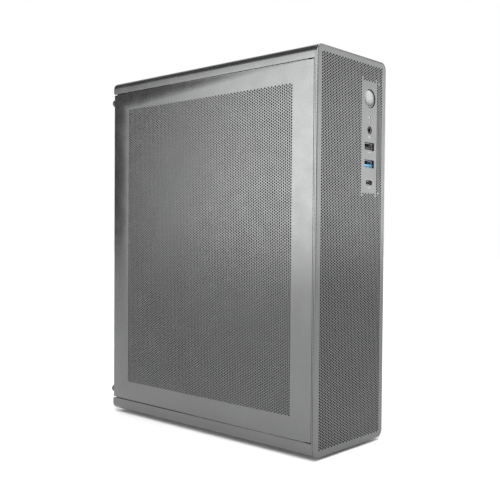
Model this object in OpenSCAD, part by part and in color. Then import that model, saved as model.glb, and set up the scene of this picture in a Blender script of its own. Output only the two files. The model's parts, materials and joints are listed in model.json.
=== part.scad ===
// Slim upright desktop computer: rounded aluminium shells, perforated panels and a complete inside.
// Millimetres, +Z up, front face towards -Y, origin on the floor under the middle of the whole machine.

/* [Case] */
// Width of the case from side panel to side panel
body_w = 103; // [103:1:140]
// Height of the case without its feet
body_h = 357; // [357:1:460]
// Depth of the case without the thumbscrew heads
body_d = 288; // [270:1:380]
// Outer radius of the four long edges
corner_r = 7; // [5:0.5:9]
// Wall of the top and bottom shells
shell_t = 1.6; // [1.2:0.1:2]
// Height of the shell's flange on the side faces
seam_h = 13; // [13:0.5:20]
// Open seam between a flange and a side panel
seam_gap = 0.9; // [0.5:0.1:1.5]
// Height of the rubber feet
foot_h = 3; // [2:0.5:8]
// Radius of the rubber feet
foot_r = 9; // [6:0.5:12]

/* [Panels] */
// Thickness of the front panel
front_t = 1.6; // [1.2:0.1:2]
// Shadow gap behind the front panel
front_gap = 0.4; // [0.3:0.1:1]
// Thickness of the inner steel sheets
steel_t = 1.2; // [0.8:0.1:1.5]
// Thickness of the side panels
panel_t = 1.2; // [1:0.1:1.6]
// How far a side panel's runner reaches behind the shell's flange
runner_lap = 4.4; // [3:0.2:4.6]
// Width of a side panel's rear flange
rear_flange_w = 10; // [9:0.5:14]
// Width of the plain strip that holds the buttons and sockets
strip_w = 21.4; // [21:0.2:30]
// Height of the plain strip
strip_h = 102; // [100:1:130]
// Distance of the strip's top from the top of the case
strip_drop = 22; // [20:1:40]
// Distance of the strip's middle from the middle of the case
strip_x = 25.6; // [20:0.1:30]

/* [Fasteners] */
// Radius of a thumbscrew's head
thumb_r = 4; // [3.6:0.1:5]
// Height of a thumbscrew's head
thumb_h = 5.5; // [4:0.5:8]
// Radius of an M3 thread
m3_r = 1.5; // [1.4:0.05:1.6]
// Radial clearance of a screw in its hole
screw_clear = 0.2; // [0.15:0.05:0.4]

/* [Power button and sockets] */
// Radius of the power button's cap
button_r = 8.2; // [6:0.1:9]
// Travel of the power button
button_travel = 1.5; // [0.5:0.1:2]
// Gap round the power button and round the sockets
socket_gap = 0.5; // [0.35:0.05:1]

/* [Cooling] */
// Outer size of the front fans
fan_size = 92; // [80:1:92]
// Thickness of the front fans
fan_t = 25; // [15:1:30]
// Outer size of the processor's fan
cpu_fan_size = 92; // [70:1:92]
// Thickness of the processor's fan
cpu_fan_t = 15; // [12:1:18]
// Number of blades on each fan
blades = 7; // [5:1:11]

/* [Inside] */
// Side of the square main board
board_size = 170; // [170:1:172]
// Height of the main board's standoffs
standoff_h = 6.5; // [5:0.5:8]
// Height of the power supply as it stands
psu_h = 125; // [110:1:126]
// Thickness of the power supply from side to side
psu_w = 63.5; // [60:0.5:66]
// Depth of the power supply
psu_d = 100; // [90:1:120]
// Number of fins on the processor's cooler
fins = 26; // [16:1:32]

/* [Hidden] */

$fn = 48;
eps = 0.01;

// Outer planes of the case
half_w = body_w / 2;
front_y = -(body_d + thumb_h) / 2;
rear_y = front_y + body_d;
base_z = foot_h;
top_z = foot_h + body_h;
frame_y = front_y + front_t + front_gap;      // front of the front frame
inner_y = frame_y + steel_t;                  // back of the front frame
flange_gap = 0.2;                             // gap between a panel's rear flange and the rear panel
rear_in = rear_y - panel_t - flange_gap - steel_t;   // inner face of the rear panel
rear_out = rear_in + steel_t;                 // outer face of the rear panel
floor_z = base_z + shell_t;
ceil_z = top_z - shell_t;

// Side panels and their runners
panel_y0 = inner_y + front_gap;
panel_z0 = base_z + seam_h + seam_gap / 2;
panel_z1 = top_z - seam_h - seam_gap / 2;
slide_gap = 0.2;
runner_t = 1.2;
runner_x = shell_t + slide_gap;               // outer face of a runner, from the case's side
inner_half = half_w - runner_x - runner_t - 0.3;     // what stays clear of the runners
edge_r = 2;                                   // small radius on the sheet corners

// Thumbscrews
thumb_x = half_w - 6.2;
thumb_in = 7.6;                               // from a panel's upper or lower edge
thumb_len = 6;

// Screws that hold the frame and the rear panel to the shells
boss_w = 8;
boss_x = half_w - 8;
boss_up = 4.2;                                // from a shell's outer face
boss_top = boss_up + 2.8;

// Fans
spider_t = 2;                                 // thickness of the arms that hold a fan's bearing
shaft_r = 1.5;
fan_back = 0.5 + spider_t;                    // room behind a rotor
fan_gap = 4;
fan_floor = 23;                               // from the shell's floor to the lower fan
fan_z1 = floor_z + fan_floor + fan_size / 2;
fan_z2 = fan_z1 + fan_size + fan_gap;
fan_hole = fan_size / 2 - 4.75;
fan_bore = fan_size / 2 - 2;

// Strip with the power button and the sockets
strip_top = top_z - strip_drop;
button_z = strip_top - 15;
led_z = [strip_top - 32.1, strip_top - 36.8];
jack_z = strip_top - 44.1;
usb2_z = strip_top - 59.3;
usb3_z = strip_top - 75.4;
usbc_z = strip_top - 92.8;
cap_front = front_y + 0.7;
port_front = front_y + front_t + 0.3;
jack_front = front_y + 0.2;
io_board_y = front_y + 17;
io_board_t = 1.6;
usb_w = 14.2;
usb_h = 6.4;
usbc_w = 9;
usbc_h = 3.3;
jack_r = 3.1;
jack_bore_r = 1.8;
jack_depth = 14;
led_r = 0.9;

// Main board; its parts stand towards -X
tray_x = inner_half - steel_t - 0.2;
board_t = 1.6;
board_back = tray_x - standoff_h;
board_x = board_back - board_t;
board_y1 = rear_in - 1.2;
board_y0 = board_y1 - board_size;
board_z1 = ceil_z - 13.4;
board_z0 = board_z1 - board_size;
hole_y = [board_y1 - 10.16, board_y1 - 165.1];
hole_z = [board_z1 - 6.35, board_z1 - 163.83];
shield_w = 44.45;
shield_h = 158.75;
shield_x1 = board_x + 3.6;
shield_z1 = board_z1 + 3;

// Processor cooler
cpu_y = board_y1 - 74;
cpu_z = board_z1 - 76;
socket_t = 6;
cooler_base_t = 7;
fin_x1 = board_x - 26;
fin_x0 = fin_x1 - 32;
fin_t = 0.5;
fin_stack = cpu_fan_size - 8;
pipe_r = 3;
pipe_step = 11;
cpu_fan_x = fin_x0 - cpu_fan_t;

// Memory
ram_y = [board_y1 - 142, board_y1 - 151.5];
ram_mid_z = (board_z0 + board_z1) / 2 + 5;
ram_len = 133.35;
ram_slot_len = 142;
ram_slot_h = 8;
ram_slot_w = 6.6;
latch_z = ram_mid_z + ram_slot_len / 2 + 3.2;
latch_x = board_x - 3;
latch_w = 4.6;
latch_pin_r = 1;

// Expansion slots
pcie_z = board_z0 + 5.6;
cover_z = [board_z0 + 3, board_z0 - 17.32];
cover_w = 18.4;
cover_x0 = -42;
cover_x1 = 40;

// Power supply
psu_x1 = thumb_x - m3_r - 0.6;
psu_x0 = psu_x1 - psu_w;
psu_y1 = rear_in;
psu_y0 = psu_y1 - psu_d;
psu_z0 = base_z + boss_top + 0.6;
psu_z1 = psu_z0 + psu_h;
psu_mid_x = (psu_x0 + psu_x1) / 2;
psu_mid_z = (psu_z0 + psu_z1) / 2;
psu_sheet = 1;
psu_hole_x = psu_w / 2 - 6;
psu_hole_z = psu_h / 2 - 6;
psu_fan = 80;
psu_fan_t = 15;
inlet_deep = 18;
psu_fan_y = psu_y1 - inlet_deep - 0.5 - psu_fan / 2;
inlet_z = psu_z1 - 28;
inlet_x = psu_mid_x - 9;
switch_x = psu_mid_x + 17;
rocker_tilt = 7;
rocker_w = 9;
rocker_y = psu_y1 - 0.8;
rocker_pin_r = 1;

// Solid-state drive on the tray
ssd_y0 = inner_y + fan_t + 8;
ssd_z0 = board_z1 - 104;

// ---- helpers ----------------------------------------------------------------------------------

// A flat outline in X and Z, made solid from y0 to y1
module along_y(y0, y1) {
    translate([0, y1, 0]) rotate([90, 0, 0]) linear_extrude(y1 - y0) children();
}

// A flat outline in Y and Z, made solid from x0 to x1
module along_x(x0, x1) {
    translate([x0, 0, 0]) rotate([90, 0, 90]) linear_extrude(x1 - x0) children();
}

module rod_y(x, z, y0, y1, r) {
    translate([x, y1, z]) rotate([90, 0, 0]) cylinder(h = y1 - y0, r = r);
}

module rod_x(y, z, x0, x1, r) {
    translate([x0, y, z]) rotate([0, 90, 0]) cylinder(h = x1 - x0, r = r);
}

module box(x0, x1, y0, y1, z0, z1) {
    translate([x0, y0, z0]) cube([x1 - x0, y1 - y0, z1 - z0]);
}

module round_rect(w, h, r) {
    square([w - 2 * r, h], center = true);
    square([w, h - 2 * r], center = true);
    for (sx = [-1, 1], sz = [-1, 1])
        translate([sx * (w / 2 - r), sz * (h / 2 - r)]) circle(r = r);
}

// Outline of the case, seen from the front
module case_outline(inset = 0) {
    translate([0, base_z + body_h / 2])
        round_rect(body_w - 2 * inset, body_h - 2 * inset, corner_r - inset);
}

// Removes the sharp corner of a sheet that lies in Y and Z
module corner_cut(y, z, sy, sz, r) {
    translate([0, y, z]) mirror([0, sy > 0 ? 0 : 1, 0]) mirror([0, 0, sz > 0 ? 0 : 1])
        along_x(-body_w, body_w) difference() {
            translate([-r, -r]) square(r + 1);
            translate([-r, -r]) circle(r = r);
        }
}

function unit(v) = v / norm(v);
function last(p) = len(p) - 1;
// One pass of corner cutting, which keeps both ends
function soften(p) = concat([p[0]],
    [for (i = [0:last(p) - 1]) each [0.75 * p[i] + 0.25 * p[i + 1], 0.25 * p[i] + 0.75 * p[i + 1]]],
    [p[last(p)]]);
function tangents(p) = [for (i = [0:last(p)]) unit(p[min(i + 1, last(p))] - p[max(i - 1, 0)])];
function square_to(n, t) = unit(n - (n * t) * t);
function carried(t, n, i = 0) = i > last(t) ? []
    : let (m = square_to(n, t[i])) concat([m], carried(t, m, i + 1));

// A round tube of radius r along the points p
module tube(p, r, sides = 8) {
    t = tangents(p);
    n = carried(t, [0.31, 0.47, 0.83]);
    rings = [for (i = [0:last(p)], k = [0:sides - 1])
        p[i] + r * (cos(360 * k / sides) * n[i] + sin(360 * k / sides) * cross(t[i], n[i]))];
    walls = [for (i = [0:last(p) - 1], k = [0:sides - 1]) let (
        a = i * sides + k, b = i * sides + (k + 1) % sides, c = a + sides, d = b + sides)
        each [[a, c, d], [a, d, b]]];
    caps = [[for (k = [0:sides - 1]) k], [for (k = [sides - 1:-1:0]) last(p) * sides + k]];
    polyhedron(points = rings, faces = concat(caps, walls), convexity = 8);
}

// Fan housing of side s and thickness t, blowing along +Z from z = 0
module fan_housing(s, t, bore, hole) {
    difference() {
        translate([0, 0, t / 2]) cube([s, s, t], center = true);
        translate([0, 0, -1]) cylinder(h = t + 2, r = bore, $fn = 96);
        for (sx = [-1, 1], sy = [-1, 1])
            translate([sx * hole, sy * hole, -1]) cylinder(h = t + 2, r = 2.15);
        for (a = [0:90:270]) rotate(a) translate([s / 2 - 3, -s / 2 + 12, 3])
            cube([4, s - 24, t - 6]);
    }
    difference() {
        union() {
            translate([0, 0, t - spider_t]) cylinder(h = spider_t, r = s * 0.2);
            for (a = [20:90:290]) rotate(a) translate([s * 0.2 - 1, -1.5, t - spider_t])
                cube([bore - s * 0.2 + 1.6, 3, spider_t]);
        }
        translate([0, 0, t - spider_t - 1]) cylinder(h = spider_t + 2, r = shaft_r + 0.05);
    }
}

// Fan rotor of blade radius r, between z = 0 and z = t, with its shaft standing out behind
module fan_wheel(r, t, hub) {
    cylinder(h = t, r = hub);
    cylinder(h = t + 0.5 + spider_t, r = shaft_r);
    intersection() {
        cylinder(h = t, r = r, $fn = 96);
        for (a = [0:360 / blades:359]) rotate(a) translate([hub - 2, 0, t / 2]) rotate([35, 0, 0])
            translate([0, -r * 0.26, -0.7]) cube([r, r * 0.52, 1.4]);
    }
}

// Pan-headed screw along +Y: the head stands behind y, the thread runs forward
module screw_y(x, z, y, len, head_r = 2.7, head_h = 1.4) {
    difference() {
        rod_y(x, z, y, y + head_h, head_r);
        for (turn = [0, 90]) translate([x, y + head_h, z]) rotate([0, turn, 0])
            cube([head_r * 1.3, head_h, 0.7], center = true);
    }
    rod_y(x, z, y - len, y + eps, m3_r);
}

// ---- shells and frames -------------------------------------------------------------------------

// Outline of the bottom shell with its two screw channels
module shell_outline() {
    difference() {
        union() {
            intersection() {
                difference() {
                    case_outline();
                    case_outline(shell_t);
                }
                translate([-body_w, base_z - 1]) square([2 * body_w, seam_h + 1 - seam_gap / 2]);
            }
            for (s = [-1, 1]) translate([s * boss_x - boss_w / 2, base_z + shell_t / 2])
                square([boss_w, boss_top - shell_t / 2]);
        }
        for (s = [-1, 1]) translate([s * boss_x, base_z + boss_up]) circle(r = m3_r);
    }
}

module shell() {
    difference() {
        along_y(inner_y, rear_y) shell_outline();
        box(-inner_half, inner_half, rear_in, rear_y + 1, floor_z, base_z + 20);
        corner_cut(rear_y, base_z + seam_h - seam_gap / 2, 1, 1, edge_r);
    }
}

module bottom_shell() {
    color("dimgray") shell();
}

module top_shell() {
    color("dimgray") translate([0, 0, base_z + top_z]) mirror([0, 0, 1]) shell();
}

module at_bosses() {
    for (s = [-1, 1], z = [base_z + boss_up, top_z - boss_up]) translate([s * boss_x, 0, z]) children();
}

// Screws of the rear panel, the power supply and the front frame
module case_screws() {
    color("black") {
        at_bosses() screw_y(0, 0, rear_out, 10, boss_up - shell_t - 0.15);
        at_psu_holes() screw_y(0, 0, rear_out, 5);
        at_bosses() mirror([0, 1, 0]) screw_y(0, 0, -frame_y, 10, 2.4, front_gap - 0.1);
    }
}

module feet() {
    color("black") for (sx = [-1, 1], y = [front_y + 32, rear_y - 32])
        translate([sx * (half_w - 24), y, 0]) {
            cylinder(h = foot_h, r = foot_r);
        }
}

// Steel frame behind the front panel; it carries the fans and the sockets
module front_frame() {
    color("gray") difference() {
        along_y(frame_y, inner_y) case_outline();
        for (z = [fan_z1, fan_z2]) {
            rod_y(0, z, frame_y - 1, inner_y + 1, fan_bore);
            for (sx = [-1, 1], sz = [-1, 1])
                rod_y(sx * fan_hole, z + sz * fan_hole, frame_y - 1, inner_y + 1, 1.7);
        }
        box(strip_x - strip_w / 2 - 0.6, strip_x + strip_w / 2 + 0.6, frame_y - 1, inner_y + 1,
            strip_top - strip_h, strip_top);
        box(-half_w + 12, strip_x - strip_w / 2 - 8, frame_y - 1, inner_y + 1,
            fan_z2 + fan_size / 2 + 10, top_z - 16);
        at_bosses() rod_y(0, 0, frame_y - 1, inner_y + 1, m3_r + screw_clear);
        at_studs() rod_y(0, 0, frame_y - 1, inner_y + 1, socket_r);
    }
}

stud_r = 2;
socket_r = 3.6;
stud_z = [base_z + 16, top_z - 14];
module at_studs() {
    for (s = [-1, 1], z = stud_z) translate([s * (half_w - 6.4), 0, z]) children();
}

// Rubber sockets that grip the front panel's studs
module stud_sockets() {
    color("black") at_studs() difference() {
        union() {
            rod_y(0, 0, frame_y, inner_y + 3, socket_r - eps);
            rod_y(0, 0, inner_y, inner_y + 1.6, socket_r + 1);
        }
        rod_y(0, 0, frame_y - 1, inner_y + 4, stud_r + 0.05);
    }
}

module rear_panel() {
    vent_step = 6.5;
    color("dimgray") difference() {
        union() {
            along_y(rear_in, rear_out) translate([0, base_z + body_h / 2])
                round_rect(2 * inner_half, body_h - 2 * shell_t - 0.2, 4);
            box(cover_x0 - 2.4, cover_x0 - 1.2, rear_in - 12, rear_in + eps,
                cover_z[1] - cover_w / 2, cover_z[0] + cover_w / 2);
        }
        box(shield_x1 - shield_w, shield_x1, rear_in - 1, rear_y, shield_z1 - shield_h, shield_z1);
        for (z = cover_z) box(cover_x0 + 6, cover_x1 - 3, rear_in - 1, rear_y, z - 6.5, z + 6.5);
        box(psu_mid_x - psu_w / 2 + 4.5, psu_mid_x + psu_w / 2 - 4.5, rear_in - 1, rear_y,
            psu_z0 + 10.5, psu_z1 - 10.5);
        at_psu_holes() rod_y(0, 0, rear_in - 1, rear_y, m3_r + screw_clear);
        at_bosses() rod_y(0, 0, rear_in - 1, rear_y, m3_r + screw_clear);
        for (s = [-1, 1], z = [panel_z0 + thumb_in, panel_z1 - thumb_in])
            rod_y(s * thumb_x, z, rear_in - 1, rear_y, m3_r + screw_clear);
        for (i = [0:20], j = [0:1]) rod_y(shield_x1 - shield_w - 12 - j * vent_step * 0.87,
            shield_z1 - 10 - (i + j / 2) * vent_step, rear_in - 1, rear_y, 2.3);
    }
}

module motherboard_tray() {
    color("dimgray") difference() {
        union() {
            box(tray_x, tray_x + steel_t, inner_y + fan_t + 3, rear_in, board_z0 - 26, board_z1 + 6);
            box(shield_x1 + 1, tray_x + eps, rear_in - steel_t, rear_in, board_z0 - 26, board_z1 + 6);
        }
        at_board_holes() rod_x(0, 0, tray_x - 1, tray_x + steel_t + 1, m3_r);
        rod_y(thumb_x, panel_z1 - thumb_in, rear_in - 2 * steel_t, rear_in + 1, m3_r + 0.6);
        box(tray_x - 1, tray_x + steel_t + 1, cpu_y - 38, cpu_y + 38, cpu_z - 40, cpu_z + 36);
        for (z = [ssd_z0 + 14, ssd_z0 + 90.6], y = [ssd_y0 + 4, ssd_y0 + 65.7])
            rod_x(y, z, tray_x - 1, tray_x + steel_t + 1, 1.6);
        // cable slots in front of the board
        for (z = [board_z0 - 8, board_z0 + 24]) along_x(tray_x - 1, tray_x + steel_t + 1)
            translate([board_y0 - 8, z]) round_rect(8, 26, 3.9);
    }
}

module at_board_holes() {
    for (y = hole_y, z = hole_z) translate([0, y, z]) children();
}

module standoffs() {
    color("goldenrod") at_board_holes() {
        difference() {
            translate([board_back, 0, 0]) rotate([0, 90, 0]) cylinder(h = standoff_h, r = 2.9, $fn = 6);
            rod_x(0, 0, board_back - 1, tray_x + 1, m3_r);
        }
    }
}

module board_screws() {
    color("silver") at_board_holes() {
        rod_x(0, 0, board_x - 1.8, board_x, 2.9);
        rod_x(0, 0, board_x - 1, board_back + 5, m3_r - 0.05);
    }
}

// ---- main board --------------------------------------------------------------------------------

module motherboard() {
    color("darkgreen") difference() {
        box(board_x, board_back, board_y0, board_y1, board_z0, board_z1);
        at_board_holes() rod_x(0, 0, board_x - 1, board_back + 1, m3_r + screw_clear);
    }
}

module cpu_socket() {
    color("silver") difference() {
        union() {
            box(board_x - 3, board_x, cpu_y - 26, cpu_y + 26, cpu_z - 28, cpu_z + 28);
            box(board_x - socket_t, board_x - 3 + eps, cpu_y - 19, cpu_y + 19, cpu_z - 19, cpu_z + 19);
        }
        for (sy = [-1, 1], sz = [-1, 1])
            rod_x(cpu_y + sy * 23, cpu_z + sz * 25, board_x - 4, board_x + 1, 1.4);
    }
}

// Base block, fin stack and the four feet that press it on the board
module cooler_heatsink() {
    base_x = board_x - socket_t - cooler_base_t;
    pitch = (fin_stack - fin_t) / (fins - 1);
    color("silver") {
        difference() {
            box(base_x, board_x - socket_t, cpu_y - 20, cpu_y + 20, cpu_z - 22, cpu_z + 22);
            for (k = [-1:1]) translate([base_x + pipe_r, cpu_y + k * pipe_step, cpu_z - 60])
                cylinder(h = 120, r = pipe_r + 0.05);
        }
        difference() {
            for (i = [0:fins - 1]) box(fin_x0, fin_x1, cpu_y - cpu_fan_size / 2,
                cpu_y + cpu_fan_size / 2, cpu_z - fin_stack / 2 + i * pitch,
                cpu_z - fin_stack / 2 + i * pitch + fin_t);
            for (k = [-1:1]) translate([fin_x0 + 12, cpu_y + k * pipe_step * 1.8, cpu_z - 80])
                cylinder(h = 160, r = pipe_r + 0.1);
        }
        // lugs that tie the fins together
        for (s = [-1, 1]) box(fin_x1 - 2, fin_x1, cpu_y + s * 30 - 2, cpu_y + s * 30 + 2,
            cpu_z - fin_stack / 2, cpu_z + fin_stack / 2);
    }
}

module heat_pipes() {
    base_x = board_x - socket_t - cooler_base_t + pipe_r;
    far_x = fin_x0 + 12;
    out = cpu_fan_size / 2 + 5;
    color("peru") for (k = [-1:1]) tube(soften(soften([
        [base_x, cpu_y + k * pipe_step, cpu_z - 22],
        [base_x, cpu_y + k * pipe_step, cpu_z + 22],
        [base_x, cpu_y + k * pipe_step, cpu_z + out],
        [far_x, cpu_y + k * pipe_step * 1.8, cpu_z + out],
        [far_x, cpu_y + k * pipe_step * 1.8, cpu_z + fin_stack / 2 + 1],
        [far_x, cpu_y + k * pipe_step * 1.8, cpu_z - fin_stack / 2 - 3]])), pipe_r, 10);
}

// Turns a fan that blows along +Z so that it blows along +X, and sets its back at x
module facing_x(x, y, z) {
    translate([x, y, z]) rotate([0, 90, 0]) children();
}

module cpu_fan_frame() {
    color("black") facing_x(cpu_fan_x, cpu_y, cpu_z)
        fan_housing(cpu_fan_size, cpu_fan_t, cpu_fan_size / 2 - 2, cpu_fan_size / 2 - 4.75);
}

module cpu_fan_rotor() {
    color("dimgray") facing_x(cpu_fan_x + 1, cpu_y, cpu_z)
        fan_wheel(cpu_fan_size / 2 - 4, cpu_fan_t - 1 - fan_back, cpu_fan_size * 0.19);
}

module ram_slots() {
    color("black") for (y = ram_y) difference() {
        box(board_x - ram_slot_h, board_x, y - ram_slot_w / 2, y + ram_slot_w / 2,
            ram_mid_z - ram_slot_len / 2, latch_z + 2.6);
        box(board_x - ram_slot_h - 1, board_x - 2, y - 0.75, y + 0.75,
            ram_mid_z - ram_len / 2 - 0.2, ram_mid_z + ram_len / 2 + 0.2);
        // room for the latch between two ears, and the bores that its pin turns in
        box(board_x - ram_slot_h - 1, board_x + 1, y - latch_w / 2 - 0.3, y + latch_w / 2 + 0.3,
            latch_z - 3.2, latch_z + 3);
        rod_y(latch_x, latch_z, y - 4, y + 4, latch_pin_r + 0.05);
    }
}

module ram_module(y) {
    color("darkgreen") difference() {
        union() {
            box(board_x - 33, board_x - 2.2, y - 0.65, y + 0.65,
                ram_mid_z - ram_len / 2, ram_mid_z + ram_len / 2);
            for (i = [0:7]) box(board_x - 24, board_x - 12, y - 1.7, y + 1.7,
                ram_mid_z - 58 + i * 14.8, ram_mid_z - 47 + i * 14.8);
        }
        box(board_x - 20, board_x - 15.4, y - 1, y + 1, ram_mid_z + ram_len / 2 - 2.4,
            ram_mid_z + ram_len / 2 + 1);
    }
}

module ram_module_1() {
    ram_module(ram_y[0]);
}

module ram_module_2() {
    ram_module(ram_y[1]);
}

// Lever that locks a memory module; it turns outwards about the pin at its foot
module ram_latch(y) {
    color("gray") {
        box(board_x - 21, latch_x + 2, y - latch_w / 2, y + latch_w / 2, latch_z - 2, latch_z + 1.6);
        box(board_x - 21, board_x - 17, y - latch_w / 2, y + latch_w / 2, latch_z + 1.5, latch_z + 6);
        box(board_x - 19, board_x - 16.4, y - 1.4, y + 1.4,
            ram_mid_z + ram_len / 2 - 1.6, latch_z - 1.9);
        rod_y(latch_x, latch_z, y - ram_slot_w / 2, y + ram_slot_w / 2, latch_pin_r);
    }
}

module ram_latch_1() {
    ram_latch(ram_y[0]);
}

module ram_latch_2() {
    ram_latch(ram_y[1]);
}

module pcie_slot() {
    color("black") difference() {
        box(board_x - 11.2, board_x, board_y1 - 140, board_y1 - 51, pcie_z - 3.7, pcie_z + 3.7);
        box(board_x - 12, board_x - 3, board_y1 - 137, board_y1 - 64, pcie_z - 0.9, pcie_z + 0.9);
        box(board_x - 12, board_x - 3, board_y1 - 62.4, board_y1 - 53, pcie_z - 0.9, pcie_z + 0.9);
    }
}

// Finned blocks on the voltage regulators and on the chipset
module board_heatsinks() {
    color("dimgray") {
        difference() {
            box(board_x - 20, board_x - 2, board_y1 - 104, board_y1 - 36, board_z1 - 21, board_z1 - 5);
            for (i = [0:9]) box(board_x - 21, board_x - 8, board_y1 - 101.5 + i * 6.8,
                board_y1 - 98.3 + i * 6.8, board_z1 - 22, board_z1 - 4);
        }
        box(board_x - 2 - eps, board_x, board_y1 - 102, board_y1 - 38, board_z1 - 19, board_z1 - 7);
        difference() {
            box(board_x - 7, board_x, board_y0 + 52, board_y0 + 88, board_z0 + 16, board_z0 + 46);
            for (i = [0:4]) box(board_x - 8, board_x - 3, board_y0 + 51, board_y0 + 89,
                board_z0 + 19.5 + i * 5.4, board_z0 + 21.5 + i * 5.4);
        }
    }
}

// Each rear socket: middle along Z from the shield's top, height off the board, width along Z, reach
rear_blocks = [[20, 17, 12], [35, 29, 15], [53, 29, 15], [73, 28, 17], [92, 16, 16], [111, 13, 19],
    [132, 12, 13]];
port_y0 = board_y1 - 20;
module rear_ports() {
    color("silver") {
        for (b = rear_blocks) difference() {
            box(board_x - b[1], board_x, port_y0, rear_out - 0.3,
                shield_z1 - b[0] - b[2] / 2, shield_z1 - b[0] + b[2] / 2);
            // mouth of each socket, one or two high
            for (k = [0:b[1] > 20 ? 1 : 0])
                box(board_x - 3 - k * 14 - 6.4, board_x - 3 - k * 14, rear_out - 9, rear_out,
                    shield_z1 - b[0] - b[2] / 2 + 1.2, shield_z1 - b[0] + b[2] / 2 - 1.2);
        }
        // aerial sockets
        for (k = [0:1]) rod_y(board_x - 7 - k * 14, shield_z1 - 149, port_y0 + 8, rear_out + 5, 3.1);
        box(board_x - 26, board_x, port_y0, port_y0 + 8 + eps, shield_z1 - 153, shield_z1 - 145);
    }
}

module io_shield() {
    lip = 1.4;
    color("silver") difference() {
        union() {
            box(shield_x1 - shield_w + 0.1, shield_x1 - 0.1, rear_in - 0.6, rear_out - 0.4,
                shield_z1 - shield_h + 0.1, shield_z1 - 0.1);
            box(shield_x1 - shield_w - lip, shield_x1 + 0.5, rear_in - 0.8, rear_in,
                shield_z1 - shield_h - lip, shield_z1 + lip);
        }
        box(shield_x1 - shield_w + 0.9, shield_x1 - 0.9, rear_in - 2, rear_out - 1.2,
            shield_z1 - shield_h + 0.9, shield_z1 - 0.9);
        for (b = rear_blocks) box(board_x - b[1] - 0.3, board_x + 1, rear_in - 2, rear_y,
            shield_z1 - b[0] - b[2] / 2 - 0.3, shield_z1 - b[0] + b[2] / 2 + 0.3);
        for (k = [0:1]) rod_y(board_x - 7 - k * 14, shield_z1 - 149, rear_in - 2, rear_y, 3.4);
    }
}

module board_connectors() {
    color("black") {
        box(board_x - 10, board_x, board_y0 + 2, board_y0 + 12, board_z1 - 70, board_z1 - 18);
        box(board_x - 10, board_x, board_y1 - 31, board_y1 - 22, board_z1 - 19, board_z1 - 1);
        box(board_x - 9, board_x, board_y0 + 2, board_y0 + 8, board_z0 + 66, board_z0 + 90);
        box(board_x - 8, board_x, board_y0 + 2, board_y0 + 12, board_z0 + 40, board_z0 + 55);
        for (i = [0:2]) box(board_x - 6, board_x, board_y0 + 2, board_y0 + 7,
            board_z0 + 14 + i * 9, board_z0 + 21 + i * 9);
        rod_x(board_y1 - 34, board_z0 + 24, board_x - 4.5, board_x, 10);
    }
}

module slot_covers() {
    color("silver") for (z = cover_z) {
        box(cover_x0, cover_x1, rear_in - 1, rear_in, z - cover_w / 2, z + cover_w / 2);
        difference() {
            box(cover_x0 - 1.2, cover_x0 + eps, rear_in - 11, rear_in, z - cover_w / 2, z + cover_w / 2);
            rod_x(rear_in - 6, z, cover_x0 - 2, cover_x0 + 1, m3_r + screw_clear);
        }
    }
}

// ---- power supply ------------------------------------------------------------------------------

module at_psu_holes() {
    for (sx = [-1, 1], sz = [-1, 1])
        translate([psu_mid_x + sx * psu_hole_x, 0, psu_mid_z + sz * psu_hole_z]) children();
}

module psu_case() {
    s = psu_sheet;
    color("black") {
        difference() {
            box(psu_x0, psu_x1, psu_y0, psu_y1, psu_z0, psu_z1);
            box(psu_x0 + s, psu_x1 - s, psu_y0 + s, psu_y1 - s, psu_z0 + s, psu_z1 - s);
            rod_x(psu_fan_y, psu_mid_z, psu_x0 - 1, psu_x0 + s + 1, psu_fan / 2 - 2);
            at_psu_holes() rod_y(0, 0, psu_y1 - 2, psu_y1 + 1, m3_r + 0.02);
            box(inlet_x - 12, inlet_x + 12, psu_y1 - 2, psu_y1 + 1, inlet_z - 14, inlet_z + 14);
            box(switch_x - 6.6, switch_x + 6.6, psu_y1 - 2, psu_y1 + 1, inlet_z - 9.2, inlet_z + 9.2);
            for (i = [0:8], j = [0:7]) rod_y(psu_mid_x - 24 + i * 6, psu_z0 + 17 + j * 7 + (i % 2) * 3.5,
                psu_y1 - 2, psu_y1 + 1, 2.4);
            rod_y(psu_mid_x - 10, psu_z1 - 24, psu_y0 - 1, psu_y0 + s + 1, 7);
        }
    }
}

module psu_fan_frame() {
    color("black") facing_x(psu_x0 + psu_sheet, psu_fan_y, psu_mid_z)
        fan_housing(psu_fan, psu_fan_t, psu_fan / 2 - 2, psu_fan / 2 - 4.25);
}

module psu_fan_rotor() {
    color("dimgray") facing_x(psu_x0 + psu_sheet + 1, psu_fan_y, psu_mid_z)
        fan_wheel(psu_fan / 2 - 4, psu_fan_t - 1 - fan_back, psu_fan * 0.19);
}

// Wire guard over the power supply's fan
module psu_grille() {
    wire = 0.8;
    color("silver") facing_x(psu_x0 - 2 * wire, psu_fan_y, psu_mid_z) {
        for (r = [8:7:36]) difference() {
            cylinder(h = 2 * wire, r = r + wire);
            translate([0, 0, -1]) cylinder(h = 2 * wire + 2, r = r - wire);
        }
        for (a = [45:90:315]) rotate(a) translate([7, -wire, 0]) cube([42, 2 * wire, 2 * wire]);
    }
}

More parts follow.
